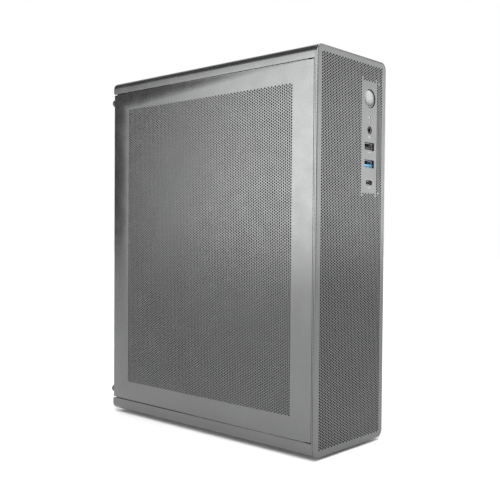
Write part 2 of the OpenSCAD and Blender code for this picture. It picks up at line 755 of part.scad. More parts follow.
// Mains entry: a three-pin inlet, open to the rear, and the housing of the rocker switch
module psu_inlet() {
    color("black") {
        difference() {
            union() {
                box(inlet_x - 13.8, switch_x + 8, psu_y1, psu_y1 + 2.4, inlet_z - 15.6, inlet_z + 15.6);
                box(inlet_x - 11.8, inlet_x + 11.8, psu_y1 - inlet_deep, psu_y1 + eps,
                    inlet_z - 13.8, inlet_z + 13.8);
                box(switch_x - 6.4, switch_x + 6.4, psu_y1 - 9, psu_y1 + eps, inlet_z - 9, inlet_z + 9);
            }
            box(inlet_x - 8.4, inlet_x + 8.4, psu_y1 - inlet_deep + 2, psu_y1 + 3,
                inlet_z - 12.2, inlet_z + 12.2);
            box(switch_x - rocker_w / 2 - 0.3, switch_x + rocker_w / 2 + 0.3, psu_y1 - 7.5, psu_y1 + 3,
                inlet_z - 7.8, inlet_z + 7.8);
            rod_x(rocker_y, inlet_z, switch_x - 6, switch_x + 6, rocker_pin_r + 0.05);
        }
        for (p = [[2.4, 7], [2.4, -7], [-3.4, 0]])
            box(inlet_x + p[0] - 2, inlet_x + p[0] + 2, psu_y1 - inlet_deep + 1, psu_y1 - 4,
                inlet_z + p[1] - 1, inlet_z + p[1] + 1);
    }
}

// Rocker on a cross pin; drawn tipped to its first position
module psu_switch() {
    color("black") translate([switch_x, rocker_y, inlet_z]) rotate([rocker_tilt, 0, 0]) {
        difference() {
            translate([-rocker_w / 2, -4.4, -7]) cube([rocker_w, 7.4, 14]);
            translate([-rocker_w, 16.6, 0]) rotate([0, 90, 0]) cylinder(h = 2 * rocker_w, r = 14.6, $fn = 96);
        }
        translate([-5.8, 0, 0]) rotate([0, 90, 0]) cylinder(h = 11.6, r = rocker_pin_r);
    }
}

// ---- front fans --------------------------------------------------------------------------------

module fan_housing_at(z) {
    translate([0, inner_y, z]) rotate([-90, 0, 0]) fan_housing(fan_size, fan_t, fan_bore, fan_hole);
}

module fan_wheel_at(z) {
    translate([0, inner_y + 1.5, z]) rotate([-90, 0, 0])
        fan_wheel(fan_bore - 2, fan_t - 1.5 - fan_back, fan_size * 0.19);
}

module fan_frame_lower() {
    color("black") fan_housing_at(fan_z1);
}

module fan_frame_upper() {
    color("black") fan_housing_at(fan_z2);
}

module fan_rotor_lower() {
    color("dimgray") fan_wheel_at(fan_z1);
}

module fan_rotor_upper() {
    color("dimgray") fan_wheel_at(fan_z2);
}

module fan_screws() {
    color("black") for (z = [fan_z1, fan_z2], sx = [-1, 1], sz = [-1, 1])
        rod_y(sx * fan_hole, z + sz * fan_hole, frame_y, inner_y + 9, m3_r);
}

// ---- front sockets -----------------------------------------------------------------------------

bracket_x = strip_w / 2 + 1;
module io_bracket() {
    y1 = io_board_y + io_board_t + 2;
    z0 = strip_top - strip_h - 1;
    z1 = strip_top + 1;
    color("gray") for (s = [-1, 1]) {
        box(strip_x + s * bracket_x - 0.5, strip_x + s * bracket_x + 0.5, inner_y, y1, z0, z1);
        translate([strip_x, 0, 0]) mirror([s < 0 ? 1 : 0, 0, 0]) {
            difference() {
                box(bracket_x - 0.5, bracket_x + 6, inner_y, inner_y + 1, z0, z1);
                for (z = [z0 + 12, z1 - 12]) rod_y(bracket_x + 3.4, z, inner_y - 1, inner_y + 2, 1.2);
            }
            for (z = [z0, z1 - 8])
                box(bracket_x - 5, bracket_x, io_board_y + io_board_t, io_board_y + io_board_t + 1, z, z + 8);
        }
    }
}

module io_board() {
    color("darkgreen") difference() {
        box(strip_x - bracket_x + 0.7, strip_x + bracket_x - 0.7, io_board_y, io_board_y + io_board_t,
            strip_top - strip_h, strip_top);
        for (s = [-1, 1], z = [strip_top - 3, strip_top - strip_h + 3])
            rod_y(strip_x + s * 8.6, z, io_board_y - 1, io_board_y + 2, 1.1);
    }
}

// Jack with a collar that reaches through the front panel's hole
module audio_jack() {
    color("black") difference() {
        union() {
            rod_y(strip_x, jack_z, jack_front, port_front + 3, jack_r);
            box(strip_x - 4, strip_x + 4, port_front + 2.6, io_board_y, jack_z - 3.6, jack_z + 3.6);
        }
        rod_y(strip_x, jack_z, jack_front - 1, jack_front + jack_depth, jack_bore_r);
    }
}

// Flat socket with a steel shell and a tongue
module usb_socket(z, w, h, tongue_h, tongue_up) {
    difference() {
        box(strip_x - w / 2, strip_x + w / 2, port_front, io_board_y, z - h / 2, z + h / 2);
        box(strip_x - w / 2 + 0.5, strip_x + w / 2 - 0.5, port_front - 1, io_board_y - 2,
            z - h / 2 + 0.5, z + h / 2 - 0.5);
    }
    box(strip_x - w / 2 + 1.2, strip_x + w / 2 - 1.2, port_front + 0.6, io_board_y - 1,
        z + tongue_up - tongue_h / 2, z + tongue_up + tongue_h / 2);
}

module usb2_port() {
    color("dimgray") usb_socket(usb2_z, usb_w, usb_h, 1.9, -1.3);
}

module usb3_port() {
    color("royalblue") usb_socket(usb3_z, usb_w, usb_h, 1.9, -1.3);
}

module usbc_port() {
    color("silver") difference() {
        union() {
            box(strip_x - usbc_w / 2 + usbc_h / 2, strip_x + usbc_w / 2 - usbc_h / 2, port_front,
                io_board_y, usbc_z - usbc_h / 2, usbc_z + usbc_h / 2);
            for (s = [-1, 1]) rod_y(strip_x + s * (usbc_w - usbc_h) / 2, usbc_z, port_front,
                io_board_y, usbc_h / 2);
        }
        box(strip_x - usbc_w / 2 + 1, strip_x + usbc_w / 2 - 1, port_front - 1, port_front + 6,
            usbc_z + 0.4, usbc_z + usbc_h / 2 - 0.4);
        box(strip_x - usbc_w / 2 + 1, strip_x + usbc_w / 2 - 1, port_front - 1, port_front + 6,
            usbc_z - usbc_h / 2 + 0.4, usbc_z - 0.4);
    }
}

module led_pipes() {
    color("white") for (z = led_z) {
        rod_y(strip_x, z, front_y + 0.3, io_board_y - 2, led_r);
        rod_y(strip_x, z, io_board_y - 3, io_board_y, led_r + 0.7);
    }
}

// Tubular guide on the board in which the button's cap slides, with the switch at its end
guide_r = button_r + 1.2;
plunger_y = cap_front + 10;
module power_switch() {
    color("black") {
        difference() {
            rod_y(strip_x, button_z, frame_y + 0.4, io_board_y, guide_r);
            rod_y(strip_x, button_z, frame_y - 1, io_board_y - 2, button_r + 0.08);
        }
        box(strip_x - 3, strip_x + 3, plunger_y + button_travel + 0.2, io_board_y - 2 + eps,
            button_z - 3, button_z + 3);
    }
}

module power_button() {
    color("silver") {
        difference() {
            rod_y(strip_x, button_z, cap_front, cap_front + 6, button_r);
            // shallow dish in the cap
            translate([strip_x, cap_front - 60 + 0.5, button_z]) sphere(r = 60, $fn = 96);
        }
        rod_y(strip_x, button_z, cap_front + 6 - eps, plunger_y, 2.2);
    }
}

// ---- drive and cables --------------------------------------------------------------------------

module ssd() {
    color("dimgray") {
        box(tray_x - 7, tray_x, ssd_y0, ssd_y0 + 69.85, ssd_z0 + 5, ssd_z0 + 100);
        difference() {
            box(tray_x - 7, tray_x, ssd_y0, ssd_y0 + 69.85, ssd_z0, ssd_z0 + 5 + eps);
            box(tray_x - 5.5, tray_x - 1, ssd_y0 + 12, ssd_y0 + 56, ssd_z0 - 1, ssd_z0 + 4);
        }
    }
}

atx_x = board_x - 10;
cord_y = psu_y0;
// Routes from socket to socket, as points that the tubes round off
atx_route = [[psu_mid_x - 10, cord_y, psu_z1 - 24], [psu_mid_x - 10, cord_y - 20, psu_z1 - 24],
    [psu_mid_x - 12, board_y0 - 12, psu_z1 - 10], [-6, board_y0 - 14, board_z0 + 20],
    [-6, board_y0 - 6, board_z1 - 70], [0, board_y0 + 7, board_z1 - 44],
    [atx_x - 9, board_y0 + 7, board_z1 - 44]];
cpu_route = [[psu_mid_x - 22, cord_y, psu_z1 - 24], [psu_mid_x - 22, cord_y - 18, psu_z1 - 24],
    [-24, board_y0 - 16, board_z0 + 10], [-24, board_y0 - 10, board_z1 - 60],
    [-8, board_y0 + 30, board_z1 - 2], [6, board_y1 - 60, board_z1 + 4],
    [6, board_y1 - 26.5, board_z1 - 10], [atx_x - 9, board_y1 - 26.5, board_z1 - 10]];
front_route = [[strip_x, io_board_y + io_board_t + 6, usb2_z], [strip_x, io_board_y + 24, usb2_z - 6],
    [8, board_y0 - 30, usb2_z - 30], [4, board_y0 - 8, board_z0 + 76],
    [10, board_y0 + 5, board_z0 + 78], [board_x - 18, board_y0 + 5, board_z0 + 78]];
sata_route = [[tray_x - 3.4, ssd_y0 + 46, ssd_z0 - 8], [tray_x - 4, ssd_y0 + 46, ssd_z0 - 22],
    [tray_x - 14, ssd_y0 + 56, ssd_z0 - 42], [board_x - 26, board_y0 - 2, board_z0 + 46],
    [board_x - 22, board_y0 + 7, board_z0 + 47.5], [board_x - 17, board_y0 + 7, board_z0 + 47.5]];

module atx_cable() {
    color("black") {
        tube(soften(soften(atx_route)), 5);
        box(atx_x - 9, atx_x, board_y0 + 2.6, board_y0 + 11.4, board_z1 - 69, board_z1 - 19);
    }
}

module cpu_cable() {
    color("black") {
        tube(soften(soften(cpu_route)), 3.2);
        box(atx_x - 9, atx_x, board_y1 - 30.6, board_y1 - 22.4, board_z1 - 18.6, board_z1 - 1.4);
    }
}

module front_io_cable() {
    color("black") {
        tube(soften(soften(front_route)), 2.6);
        box(board_x - 18, board_x - 9, board_y0 + 2.4, board_y0 + 7.6, board_z0 + 67, board_z0 + 89);
        box(strip_x - 6, strip_x + 6, io_board_y + io_board_t, io_board_y + io_board_t + 6,
            usb2_z - 4, usb2_z + 4);
    }
}

module sata_cable() {
    color("darkred") {
        tube(soften(soften(sata_route)), 1.8);
        box(board_x - 17, board_x - 8, board_y0 + 3, board_y0 + 11, board_z0 + 41, board_z0 + 54);
        box(tray_x - 5.9, tray_x - 0.9, ssd_y0 + 36, ssd_y0 + 55, ssd_z0 - 8, ssd_z0);
    }
}

// ---- panels that come off ----------------------------------------------------------------------

// Front panel: one sheet with cut-outs for the button, the lights and the sockets
module front_panel() {
    color("gray") difference() {
        along_y(front_y, front_y + front_t) case_outline();
        rod_y(strip_x, button_z, front_y - 1, frame_y, button_r + socket_gap);
        for (z = led_z) rod_y(strip_x, z, front_y - 1, frame_y, led_r + 0.35);
        rod_y(strip_x, jack_z, front_y - 1, frame_y, jack_r + socket_gap);
        for (z = [usb2_z, usb3_z]) box(strip_x - usb_w / 2 - socket_gap, strip_x + usb_w / 2 + socket_gap,
            front_y - 1, frame_y, z - usb_h / 2 - socket_gap, z + usb_h / 2 + socket_gap);
        along_y(front_y - 1, frame_y) translate([strip_x, usbc_z])
            round_rect(usbc_w + 2 * socket_gap, usbc_h + 2 * socket_gap, usbc_h / 2 + socket_gap - 0.1);
    }
}

module panel_studs() {
    color("silver") at_studs() rod_y(0, 0, front_y + front_t, inner_y + 5, stud_r);
}

// Left panel as seen from the front; the right one is its mirror image
module side_panel() {
    runner = [-half_w + runner_x, -half_w + runner_x + runner_t];
    difference() {
        union() {
            box(-half_w, -half_w + panel_t, panel_y0, rear_y, panel_z0, panel_z1);
            box(-half_w, -half_w + rear_flange_w, rear_y - panel_t, rear_y, panel_z0, panel_z1);
            for (up = [0, 1]) translate([0, 0, up * (panel_z0 + panel_z1)]) mirror([0, 0, up]) {
                box(-half_w + panel_t - eps, runner[1], panel_y0 + 8, rear_y - 14,
                    panel_z0 + 0.6, panel_z0 + 5);
                box(runner[0], runner[1], panel_y0 + 8, rear_y - 14,
                    panel_z0 - seam_gap - runner_lap, panel_z0 + 0.6 + eps);
            }
        }
        for (z = [panel_z0 + thumb_in, panel_z1 - thumb_in])
            rod_y(-thumb_x, z, rear_y - panel_t - 1, rear_y + 1, m3_r + screw_clear);
        corner_cut(rear_y, panel_z0, 1, -1, edge_r);
        corner_cut(rear_y, panel_z1, 1, 1, edge_r);
    }
}

module left_panel() {
    color("dimgray") side_panel();
}

module right_panel() {
    color("dimgray") mirror([1, 0, 0]) side_panel();
}

module thumbscrew(side, z) {
    color("black") {
        difference() {
            rod_y(side * thumb_x, z, rear_y, rear_y + thumb_h, thumb_r);
            for (a = [0:30:330]) translate([side * thumb_x, rear_y + 1.2, z]) rotate([0, a, 0])
                translate([thumb_r + 0.15, thumb_h / 2, 0]) cube([1, thumb_h, 0.9], center = true);
            translate([side * thumb_x, rear_y + thumb_h, z]) cube([5, 2, 0.8], center = true);
            translate([side * thumb_x, rear_y + thumb_h, z]) cube([0.8, 2, 5], center = true);
        }
        rod_y(side * thumb_x, z, rear_y - thumb_len, rear_y + eps, m3_r);
    }
}

module thumbscrew_left_upper() {
    thumbscrew(-1, panel_z1 - thumb_in);
}

module thumbscrew_left_lower() {
    thumbscrew(-1, panel_z0 + thumb_in);
}

module thumbscrew_right_upper() {
    thumbscrew(1, panel_z1 - thumb_in);
}

module thumbscrew_right_lower() {
    thumbscrew(1, panel_z0 + thumb_in);
}

bottom_shell();
top_shell();
rear_panel();
front_frame();
stud_sockets();
case_screws();
feet();
motherboard_tray();
standoffs();
motherboard();
board_screws();
cpu_socket();
cooler_heatsink();
heat_pipes();
cpu_fan_frame();
ram_slots();
ram_module_1();
ram_module_2();
pcie_slot();
board_heatsinks();
rear_ports();
io_shield();
board_connectors();
slot_covers();
psu_case();
psu_fan_frame();
psu_grille();
psu_inlet();
fan_frame_lower();
fan_frame_upper();
fan_screws();
io_bracket();
io_board();
audio_jack();
usb2_port();
usb3_port();
usbc_port();
led_pipes();
power_switch();
ssd();
atx_cable();
cpu_cable();
front_io_cable();
sata_cable();
front_panel();
panel_studs();
left_panel();
right_panel();
thumbscrew_left_upper();
thumbscrew_left_lower();
thumbscrew_right_upper();
thumbscrew_right_lower();
power_button();
cpu_fan_rotor();
fan_rotor_lower();
fan_rotor_upper();
psu_fan_rotor();
psu_switch();
ram_latch_1();
ram_latch_2();
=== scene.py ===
"""Looks of a slim upright desktop computer: sheet metal, sockets, insides, light and camera."""

import json
import math

import bmesh
import bpy
from mathutils import Matrix, Vector


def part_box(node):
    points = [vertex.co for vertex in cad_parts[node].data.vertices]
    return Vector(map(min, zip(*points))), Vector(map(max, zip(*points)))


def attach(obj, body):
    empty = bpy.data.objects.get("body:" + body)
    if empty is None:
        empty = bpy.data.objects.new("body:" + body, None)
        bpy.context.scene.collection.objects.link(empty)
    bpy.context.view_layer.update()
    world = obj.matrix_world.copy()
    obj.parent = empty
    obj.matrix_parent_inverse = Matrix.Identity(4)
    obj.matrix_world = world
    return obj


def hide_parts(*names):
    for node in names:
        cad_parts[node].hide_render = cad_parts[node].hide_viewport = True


bl_info = {
    "name": "Desktop Tower",
    "version": (1, 0, 0),
    "blender": (4, 5, 0),
    "location": "View3D > Sidebar > Tower",
    "description": "Perforated case, sockets, insides and studio of a slim desktop computer",
    "category": "Add Mesh",
}

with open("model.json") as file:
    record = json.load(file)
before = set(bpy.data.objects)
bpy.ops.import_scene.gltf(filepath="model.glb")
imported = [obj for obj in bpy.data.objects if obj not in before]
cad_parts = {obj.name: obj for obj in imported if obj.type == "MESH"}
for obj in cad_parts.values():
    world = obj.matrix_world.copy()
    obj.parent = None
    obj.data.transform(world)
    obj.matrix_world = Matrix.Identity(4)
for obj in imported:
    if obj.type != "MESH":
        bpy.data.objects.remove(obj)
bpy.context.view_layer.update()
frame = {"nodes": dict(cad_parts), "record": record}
NODES = frame["nodes"]
SLOTS = {row["node"]: row["material_slot"] for row in frame["record"]["subparts"]}
BODY_OF = {n: body for body, names in frame["record"]["behaviour"]["bodies"].items() for n in names}
MM = 0.001
FILTER_THICK = 0.1 * MM
FILTER_GAP = 0.05 * MM      # between a sheet and the filter behind it
THIRTY = math.radians(30)


# ---- sizes and colours --------------------------------------------------------------------------


class PerforationSettings(bpy.types.PropertyGroup):
    pitch: bpy.props.FloatProperty(
        name="Hole pitch", description="Distance between the middles of neighbouring holes",
        default=2.5 * MM, min=1.5 * MM, unit="LENGTH")
    hole: bpy.props.FloatProperty(
        name="Hole width", description="Width of a hole from corner to corner",
        default=2.0 * MM, min=0.5 * MM, unit="LENGTH")
    front_margin: bpy.props.FloatProperty(
        name="Front margin", description="Plain edge round the holes of the front panel",
        default=5.0 * MM, unit="LENGTH")
    side_front: bpy.props.FloatProperty(
        name="Side margin, front",
        description="From the front face to the first holes of a side panel",
        default=26.3 * MM, unit="LENGTH")
    side_rear: bpy.props.FloatProperty(
        name="Side margin, rear",
        description="From the last holes of a side panel to the rear face",
        default=24.8 * MM, unit="LENGTH")
    side_low: bpy.props.FloatProperty(
        name="Side margin, bottom", description="From the panel's lower edge to its first holes",
        default=18.6 * MM, unit="LENGTH")
    side_high: bpy.props.FloatProperty(
        name="Side margin, top",
        description="From the last holes of a side panel to its upper edge",
        default=17.1 * MM, unit="LENGTH")


class SheetSettings(bpy.types.PropertyGroup):
    corner: bpy.props.FloatProperty(
        name="Case corner", description="Radius of the four long edges of the case",
        default=7.0 * MM, unit="LENGTH")
    rim: bpy.props.FloatProperty(
        name="Front rim", description="Width of the rounded rim of the front panel",
        default=2.0 * MM, unit="LENGTH")
    rim_round: bpy.props.FloatProperty(
        name="Rim rounding", description="Radius of the front panel's outer edge",
        default=0.75 * MM, unit="LENGTH")
    fold: bpy.props.FloatProperty(
        name="Fold radius", description="Outer radius of the fold at the rear of a side panel",
        default=2.0 * MM, unit="LENGTH")
    edge: bpy.props.FloatProperty(
        name="Sheet edge", description="Small rounding on the cut edges of the sheets",
        default=0.22 * MM, unit="LENGTH")
    gap: bpy.props.FloatProperty(
        name="Cut-out gap", description="Gap round the button and the sockets",
        default=0.5 * MM, unit="LENGTH")
    strip: bpy.props.FloatProperty(
        name="Strip width", description="Width of the plain strip with the button and the sockets",
        default=21.4 * MM, unit="LENGTH")


class FinishSettings(bpy.types.PropertyGroup):
    case_colour: bpy.props.FloatVectorProperty(
        name="Case", description="Colour of the case metal", subtype="COLOR", size=3,
        default=(0.14, 0.141, 0.142), min=0.0, max=1.0)
    case_rough: bpy.props.FloatProperty(
        name="Case roughness", description="How matt the case metal is", subtype="FACTOR",
        default=0.24, min=0.0, max=1.0)
    blue: bpy.props.FloatVectorProperty(
        name="Fast socket", description="Colour of the tongue in the fast socket", subtype="COLOR",
        size=3, default=(0.07, 0.42, 0.75), min=0.0, max=1.0)


class StudioSettings(bpy.types.PropertyGroup):
    lens: bpy.props.FloatProperty(
        name="Lens", description="Focal length in millimetres", default=54.02)
    azimuth: bpy.props.FloatProperty(
        name="Azimuth", description="Turn of the camera to the left of the front face",
        subtype="ANGLE", default=math.radians(50.10))
    elevation: bpy.props.FloatProperty(
        name="Elevation", description="Height of the camera above level", subtype="ANGLE",
        default=math.radians(1.37))
    roll: bpy.props.FloatProperty(
        name="Roll", description="Tilt of the camera", subtype="ANGLE", default=math.radians(0.54))
    distance: bpy.props.FloatProperty(
        name="Distance", description="Distance of the camera", default=0.7725, unit="LENGTH")
    aside: bpy.props.FloatVectorProperty(
        name="Offset", description="Camera offset to the right and up", size=2,
        default=(0.0726, -0.0047), unit="LENGTH")
    shift: bpy.props.FloatVectorProperty(
        name="Shift", description="Lens shift", size=2, default=(-0.12, 0.0076))
    sky: bpy.props.FloatProperty(
        name="Sky", description="Strength of the light from all round", default=0.12, min=0.0)
    key: bpy.props.FloatProperty(
        name="Key light", description="Strength of the large soft light", default=3.5, min=0.0)


GROUPS = {"tower_holes": PerforationSettings, "tower_sheets": SheetSettings,
          "tower_finish": FinishSettings, "tower_studio": StudioSettings}


# ---- places taken from the frame ----------------------------------------------------------------


def middle(name):
    low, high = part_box(name)
    return (low + high) / 2


def span(name):
    low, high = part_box(name)
    return high - low


# ---- materials ----------------------------------------------------------------------------------


class Finish:
    """A node material in the making, read on object coordinates."""

    def __init__(self, name, colour, metallic=0.0, roughness=0.5, **fixed):
        self.mat = bpy.data.materials.new(name)
        self.mat.use_nodes = True
        self.tree = self.mat.node_tree
        self.tree.nodes.clear()
        self.out = self.add("ShaderNodeOutputMaterial")
        self.shader = self.add("ShaderNodeBsdfPrincipled")
        self.join(self.shader, "BSDF", self.out, "Surface")
        self.coords = self.add("ShaderNodeTexCoord")
        self.shader.inputs["Base Color"].default_value = (*colour, 1)
        self.shader.inputs["Metallic"].default_value = metallic
        self.shader.inputs["Roughness"].default_value = roughness
        for key, value in fixed.items():
            self.shader.inputs[key.replace("_", " ")].default_value = value
        self.colour, self.rough, self.height = colour, roughness, None

    def add(self, kind, **settings):
        made = self.tree.nodes.new(kind)
        for key, value in settings.items():
            setattr(made, key, value)
        return made

    def join(self, a, out, b, into):
        self.tree.links.new(a.outputs[out], b.inputs[into])

    def place(self, stretch=(1, 1, 1), turn=(0, 0, 0), move=(0, 0, 0)):
        mapping = self.add("ShaderNodeMapping")
        mapping.inputs["Scale"].default_value = stretch
        mapping.inputs["Rotation"].default_value = turn
        mapping.inputs["Location"].default_value = move
        self.join(self.coords, "Object", mapping, "Vector")
        return mapping

    def noise(self, scale, detail=3.0, stretch=(1, 1, 1)):
        tex = self.add("ShaderNodeTexNoise")
        tex.inputs["Scale"].default_value = scale
        tex.inputs["Detail"].default_value = detail
        self.join(self.place(stretch), "Vector", tex, "Vector")
        return tex

    def mottle(self, scale, amount, detail=4.0, stretch=(1, 1, 1)):
        """Cloudy variation of the base colour."""
        ramp = self.add("ShaderNodeValToRGB")
        low = [max(0.0, c * (1 - amount)) for c in self.colour]
        high = [min(1.0, c * (1 + amount)) for c in self.colour]
        ramp.color_ramp.elements[0].position, ramp.color_ramp.elements[1].position = 0.32, 0.68
        ramp.color_ramp.elements[0].color = (*low, 1)
        ramp.color_ramp.elements[1].color = (*high, 1)
        self.join(self.noise(scale, detail, stretch), "Fac", ramp, "Fac")
        self.join(ramp, "Color", self.shader, "Base Color")
        return self

    def wear(self, scale, amount, detail=3.0, stretch=(1, 1, 1)):
        """Uneven gloss."""
        span_node = self.add("ShaderNodeMapRange")
        span_node.inputs["From Min"].default_value = 0.3
        span_node.inputs["From Max"].default_value = 0.7
        span_node.inputs["To Min"].default_value = max(0.02, self.rough - amount)
        span_node.inputs["To Max"].default_value = min(1.0, self.rough + amount)
        self.join(self.noise(scale, detail, stretch), "Fac", span_node, "Value")
        self.join(span_node, "Result", self.shader, "Roughness")
        return self

    def relief(self, source, output, strength, distance):
        bump = self.add("ShaderNodeBump")
        bump.inputs["Strength"].default_value = strength
        bump.inputs["Distance"].default_value = distance
        self.join(source, output, bump, "Height")
        if self.height is not None:
            self.join(self.height, "Normal", bump, "Normal")
        self.join(bump, "Normal", self.shader, "Normal")
        self.height = bump
        return self

    def grain(self, scale, strength, distance=0.1 * MM, detail=2.0, stretch=(1, 1, 1)):
        return self.relief(self.noise(scale, detail, stretch), "Fac", strength, distance)


def case_metal():
    look = bpy.context.scene.tower_finish
    f = Finish("case_metal", look.case_colour, 0.92, look.case_rough)
    f.mottle(14, 0.035).wear(60, 0.03)
    f.grain(2600, 0.07, 0.04 * MM)
    return f.mat


def powder_coat(name, colour, roughness):
    f = Finish(name, colour, 0.0, roughness)
    f.mottle(30, 0.08).wear(120, 0.06)
    f.grain(1500, 0.35, 0.08 * MM, 1.0)
    return f.mat


def plated(name, colour, roughness, stretch):
    """Rolled sheet or turned steel: fine lines along the rolling direction."""
    f = Finish(name, colour, 1.0, roughness)
    f.mottle(40, 0.06).wear(900, 0.09, 4.0, stretch)
    f.grain(1200, 0.22, 0.03 * MM, 3.0, stretch)
    return f.mat


def moulded(name, colour, roughness, scale=1400, **fixed):
    f = Finish(name, colour, 0.0, roughness, **fixed)
    f.mottle(60, 0.1).wear(200, 0.07)
    f.grain(scale, 0.3, 0.06 * MM, 2.0)
    return f.mat


def circuit_board():
    """Solder mask over copper runs, with bright pads."""
    f = Finish("circuit_board", (0.012, 0.02, 0.019), 0.0, 0.34)
    brick = f.add("ShaderNodeTexBrick", offset=0.37, squash=1.9, squash_frequency=3)
    brick.inputs["Scale"].default_value = 160
    brick.inputs["Color1"].default_value = (0.010, 0.017, 0.016, 1)
    brick.inputs["Color2"].default_value = (0.020, 0.034, 0.031, 1)
    brick.inputs["Mortar"].default_value = (0.035, 0.058, 0.05, 1)
    brick.inputs["Mortar Size"].default_value = 0.035
    brick.inputs["Brick Width"].default_value = 1.7
    brick.inputs["Row Height"].default_value = 0.21
    f.join(f.place((1, 1, 1), (0, math.radians(90), 0)), "Vector", brick, "Vector")
    pads = f.add("ShaderNodeTexVoronoi", distance="CHEBYCHEV")
    pads.inputs["Scale"].default_value = 420
    pads.inputs["Randomness"].default_value = 0.75
    f.join(f.place(), "Vector", pads, "Vector")
    dot = f.add("ShaderNodeMath", operation="LESS_THAN")
    dot.inputs[1].default_value = 0.09
    f.join(pads, "Distance", dot, 0)
    mix = f.add("ShaderNodeMixRGB")
    mix.inputs["Color2"].default_value = (0.55, 0.52, 0.42, 1)
    f.join(dot, "Value", mix, "Fac")
    f.join(brick, "Color", mix, "Color1")
    f.join(mix, "Color", f.shader, "Base Color")
    f.join(dot, "Value", f.shader, "Metallic")
    f.wear(300, 0.08)
    f.relief(brick, "Fac", 0.3, 0.05 * MM)
    return f.mat


def spun_metal():
    """Turned cap: fine rings round the cap's own axis and a highlight that fans out."""
    f = Finish("button_metal", (0.26, 0.263, 0.267), 1.0, 0.22, Anisotropic=0.95)
    tangent = f.add("ShaderNodeTangent", direction_type="RADIAL", axis="Y")
    f.join(tangent, "Tangent", f.shader, "Tangent")
    centre = middle("power_button")
    rings = f.add("ShaderNodeTexWave", wave_type="RINGS", rings_direction="Y")
    rings.inputs["Scale"].default_value = 900
    rings.inputs["Distortion"].default_value = 0.6
    f.join(f.place(move=(-centre.x, -centre.y, -centre.z)), "Vector", rings, "Vector")
    f.relief(rings, "Fac", 0.04, 0.01 * MM)
    f.wear(500, 0.03)
    return f.mat


def filter_mesh():
    """Black woven filter: two sets of fine threads that cross."""
    f = Finish("filter_mesh", (0.012, 0.012, 0.012), 0.0, 0.75, Specular_IOR_Level=0.08)
    for stretch in ((1, 1, 0), (0, 0, 1)):
        threads = f.add("ShaderNodeTexWave", wave_type="BANDS", bands_direction="DIAGONAL")
        threads.inputs["Scale"].default_value = 1100
        f.join(f.place(stretch), "Vector", threads, "Vector")
        f.relief(threads, "Fac", 0.5, 0.03 * MM)
    f.mottle(400, 0.3).wear(300, 0.08)
    return f.mat


def sleeve(name, colour, scale, roughness=0.55):
    """Woven sleeve or ribbed jacket over a bundle of wires."""
    f = Finish(name, colour, 0.0, roughness, Sheen_Weight=0.25)
    braid = f.add("ShaderNodeTexVoronoi", feature="F1")
    braid.inputs["Scale"].default_value = scale
    f.join(f.place((1, 0.6, 1)), "Vector", braid, "Vector")
    f.mottle(scale * 1.3, 0.35, 2.0)
    f.relief(braid, "Distance", 0.6, 0.25 * MM)
    return f.mat


def clear_pipe():
    f = Finish("light_pipe", (0.8, 0.85, 0.88), 0.0, 0.12, Transmission_Weight=0.55, IOR=1.49)
    f.mottle(900, 0.06).wear(700, 0.05)
    return f.mat


FINISHES = {
    "case_metal": case_metal,
    # hole walls: a dark finish that paints the shade inside the deep holes; the real walls are the
    # case metal
    "hole_wall_painted_shade": lambda: powder_coat("hole_wall_painted_shade", (0.05, 0.05, 0.051), 0.5),
    "chassis_steel": lambda: powder_coat("chassis_steel", (0.026, 0.026, 0.028), 0.48),
    "black_steel": lambda: powder_coat("black_steel", (0.022, 0.022, 0.024), 0.5),
    "black_zinc": lambda: plated("black_zinc", (0.07, 0.07, 0.075), 0.34, (1, 0.15, 1)),
    "bright_steel": lambda: plated("bright_steel", (0.6, 0.61, 0.62), 0.28, (1, 1, 0.05)),
    "brass": lambda: plated("brass", (0.72, 0.53, 0.25), 0.25, (0.08, 1, 1)),
    "copper": lambda: plated("copper", (0.8, 0.44, 0.3), 0.22, (1, 1, 0.1)),
    "fin_aluminium": lambda: plated("fin_aluminium", (0.74, 0.75, 0.77), 0.3, (1, 0.06, 1)),
    "dark_aluminium": lambda: plated("dark_aluminium", (0.07, 0.07, 0.078), 0.42, (1, 0.08, 1)),
    "circuit_board": circuit_board,
    "filter_mesh": filter_mesh,
    "black_plastic": lambda: moulded("black_plastic", (0.02, 0.02, 0.021), 0.45),
    "grey_plastic": lambda: moulded("grey_plastic", (0.055, 0.057, 0.06), 0.36),
    "light_pipe": clear_pipe,
    "button_metal": spun_metal,
    "rubber": lambda: moulded("rubber", (0.018, 0.018, 0.018), 0.78, 900),
    "cable_black": lambda: sleeve("cable_black", (0.02, 0.02, 0.021), 700),
    "cable_red": lambda: sleeve("cable_red", (0.28, 0.012, 0.012), 900, 0.42),
    "tongue_blue": lambda: moulded(
        "tongue_blue", bpy.context.scene.tower_finish.blue, 0.35, 1600),
    "tongue_black": lambda: moulded("tongue_black", (0.012, 0.012, 0.012), 0.38, 1600),
    "contact_gold": lambda: plated("contact_gold", (0.9, 0.66, 0.28), 0.22, (1, 0.1, 1)),
    "print_grey": lambda: moulded("print_grey", (0.62, 0.63, 0.64), 0.6, 1800),
}


MADE = {}


def finish(name):
    """The finish of that name, made once."""
    if name not in MADE:
        MADE[name] = FINISHES[name]()
        MADE[name].name = f"{name}_finish"
    return MADE[name]


# ---- mesh helpers -------------------------------------------------------------------------------

FRONT = Matrix(((1, 0, 0, 0), (0, 0, 1, 0), (0, 1, 0, 0), (0, 0, 0, 1)))   # plane X, Z; depth Y
SIDE = Matrix(((0, 0, 1, 0), (1, 0, 0, 0), (0, 1, 0, 0), (0, 0, 0, 1)))    # plane Y, Z; depth X


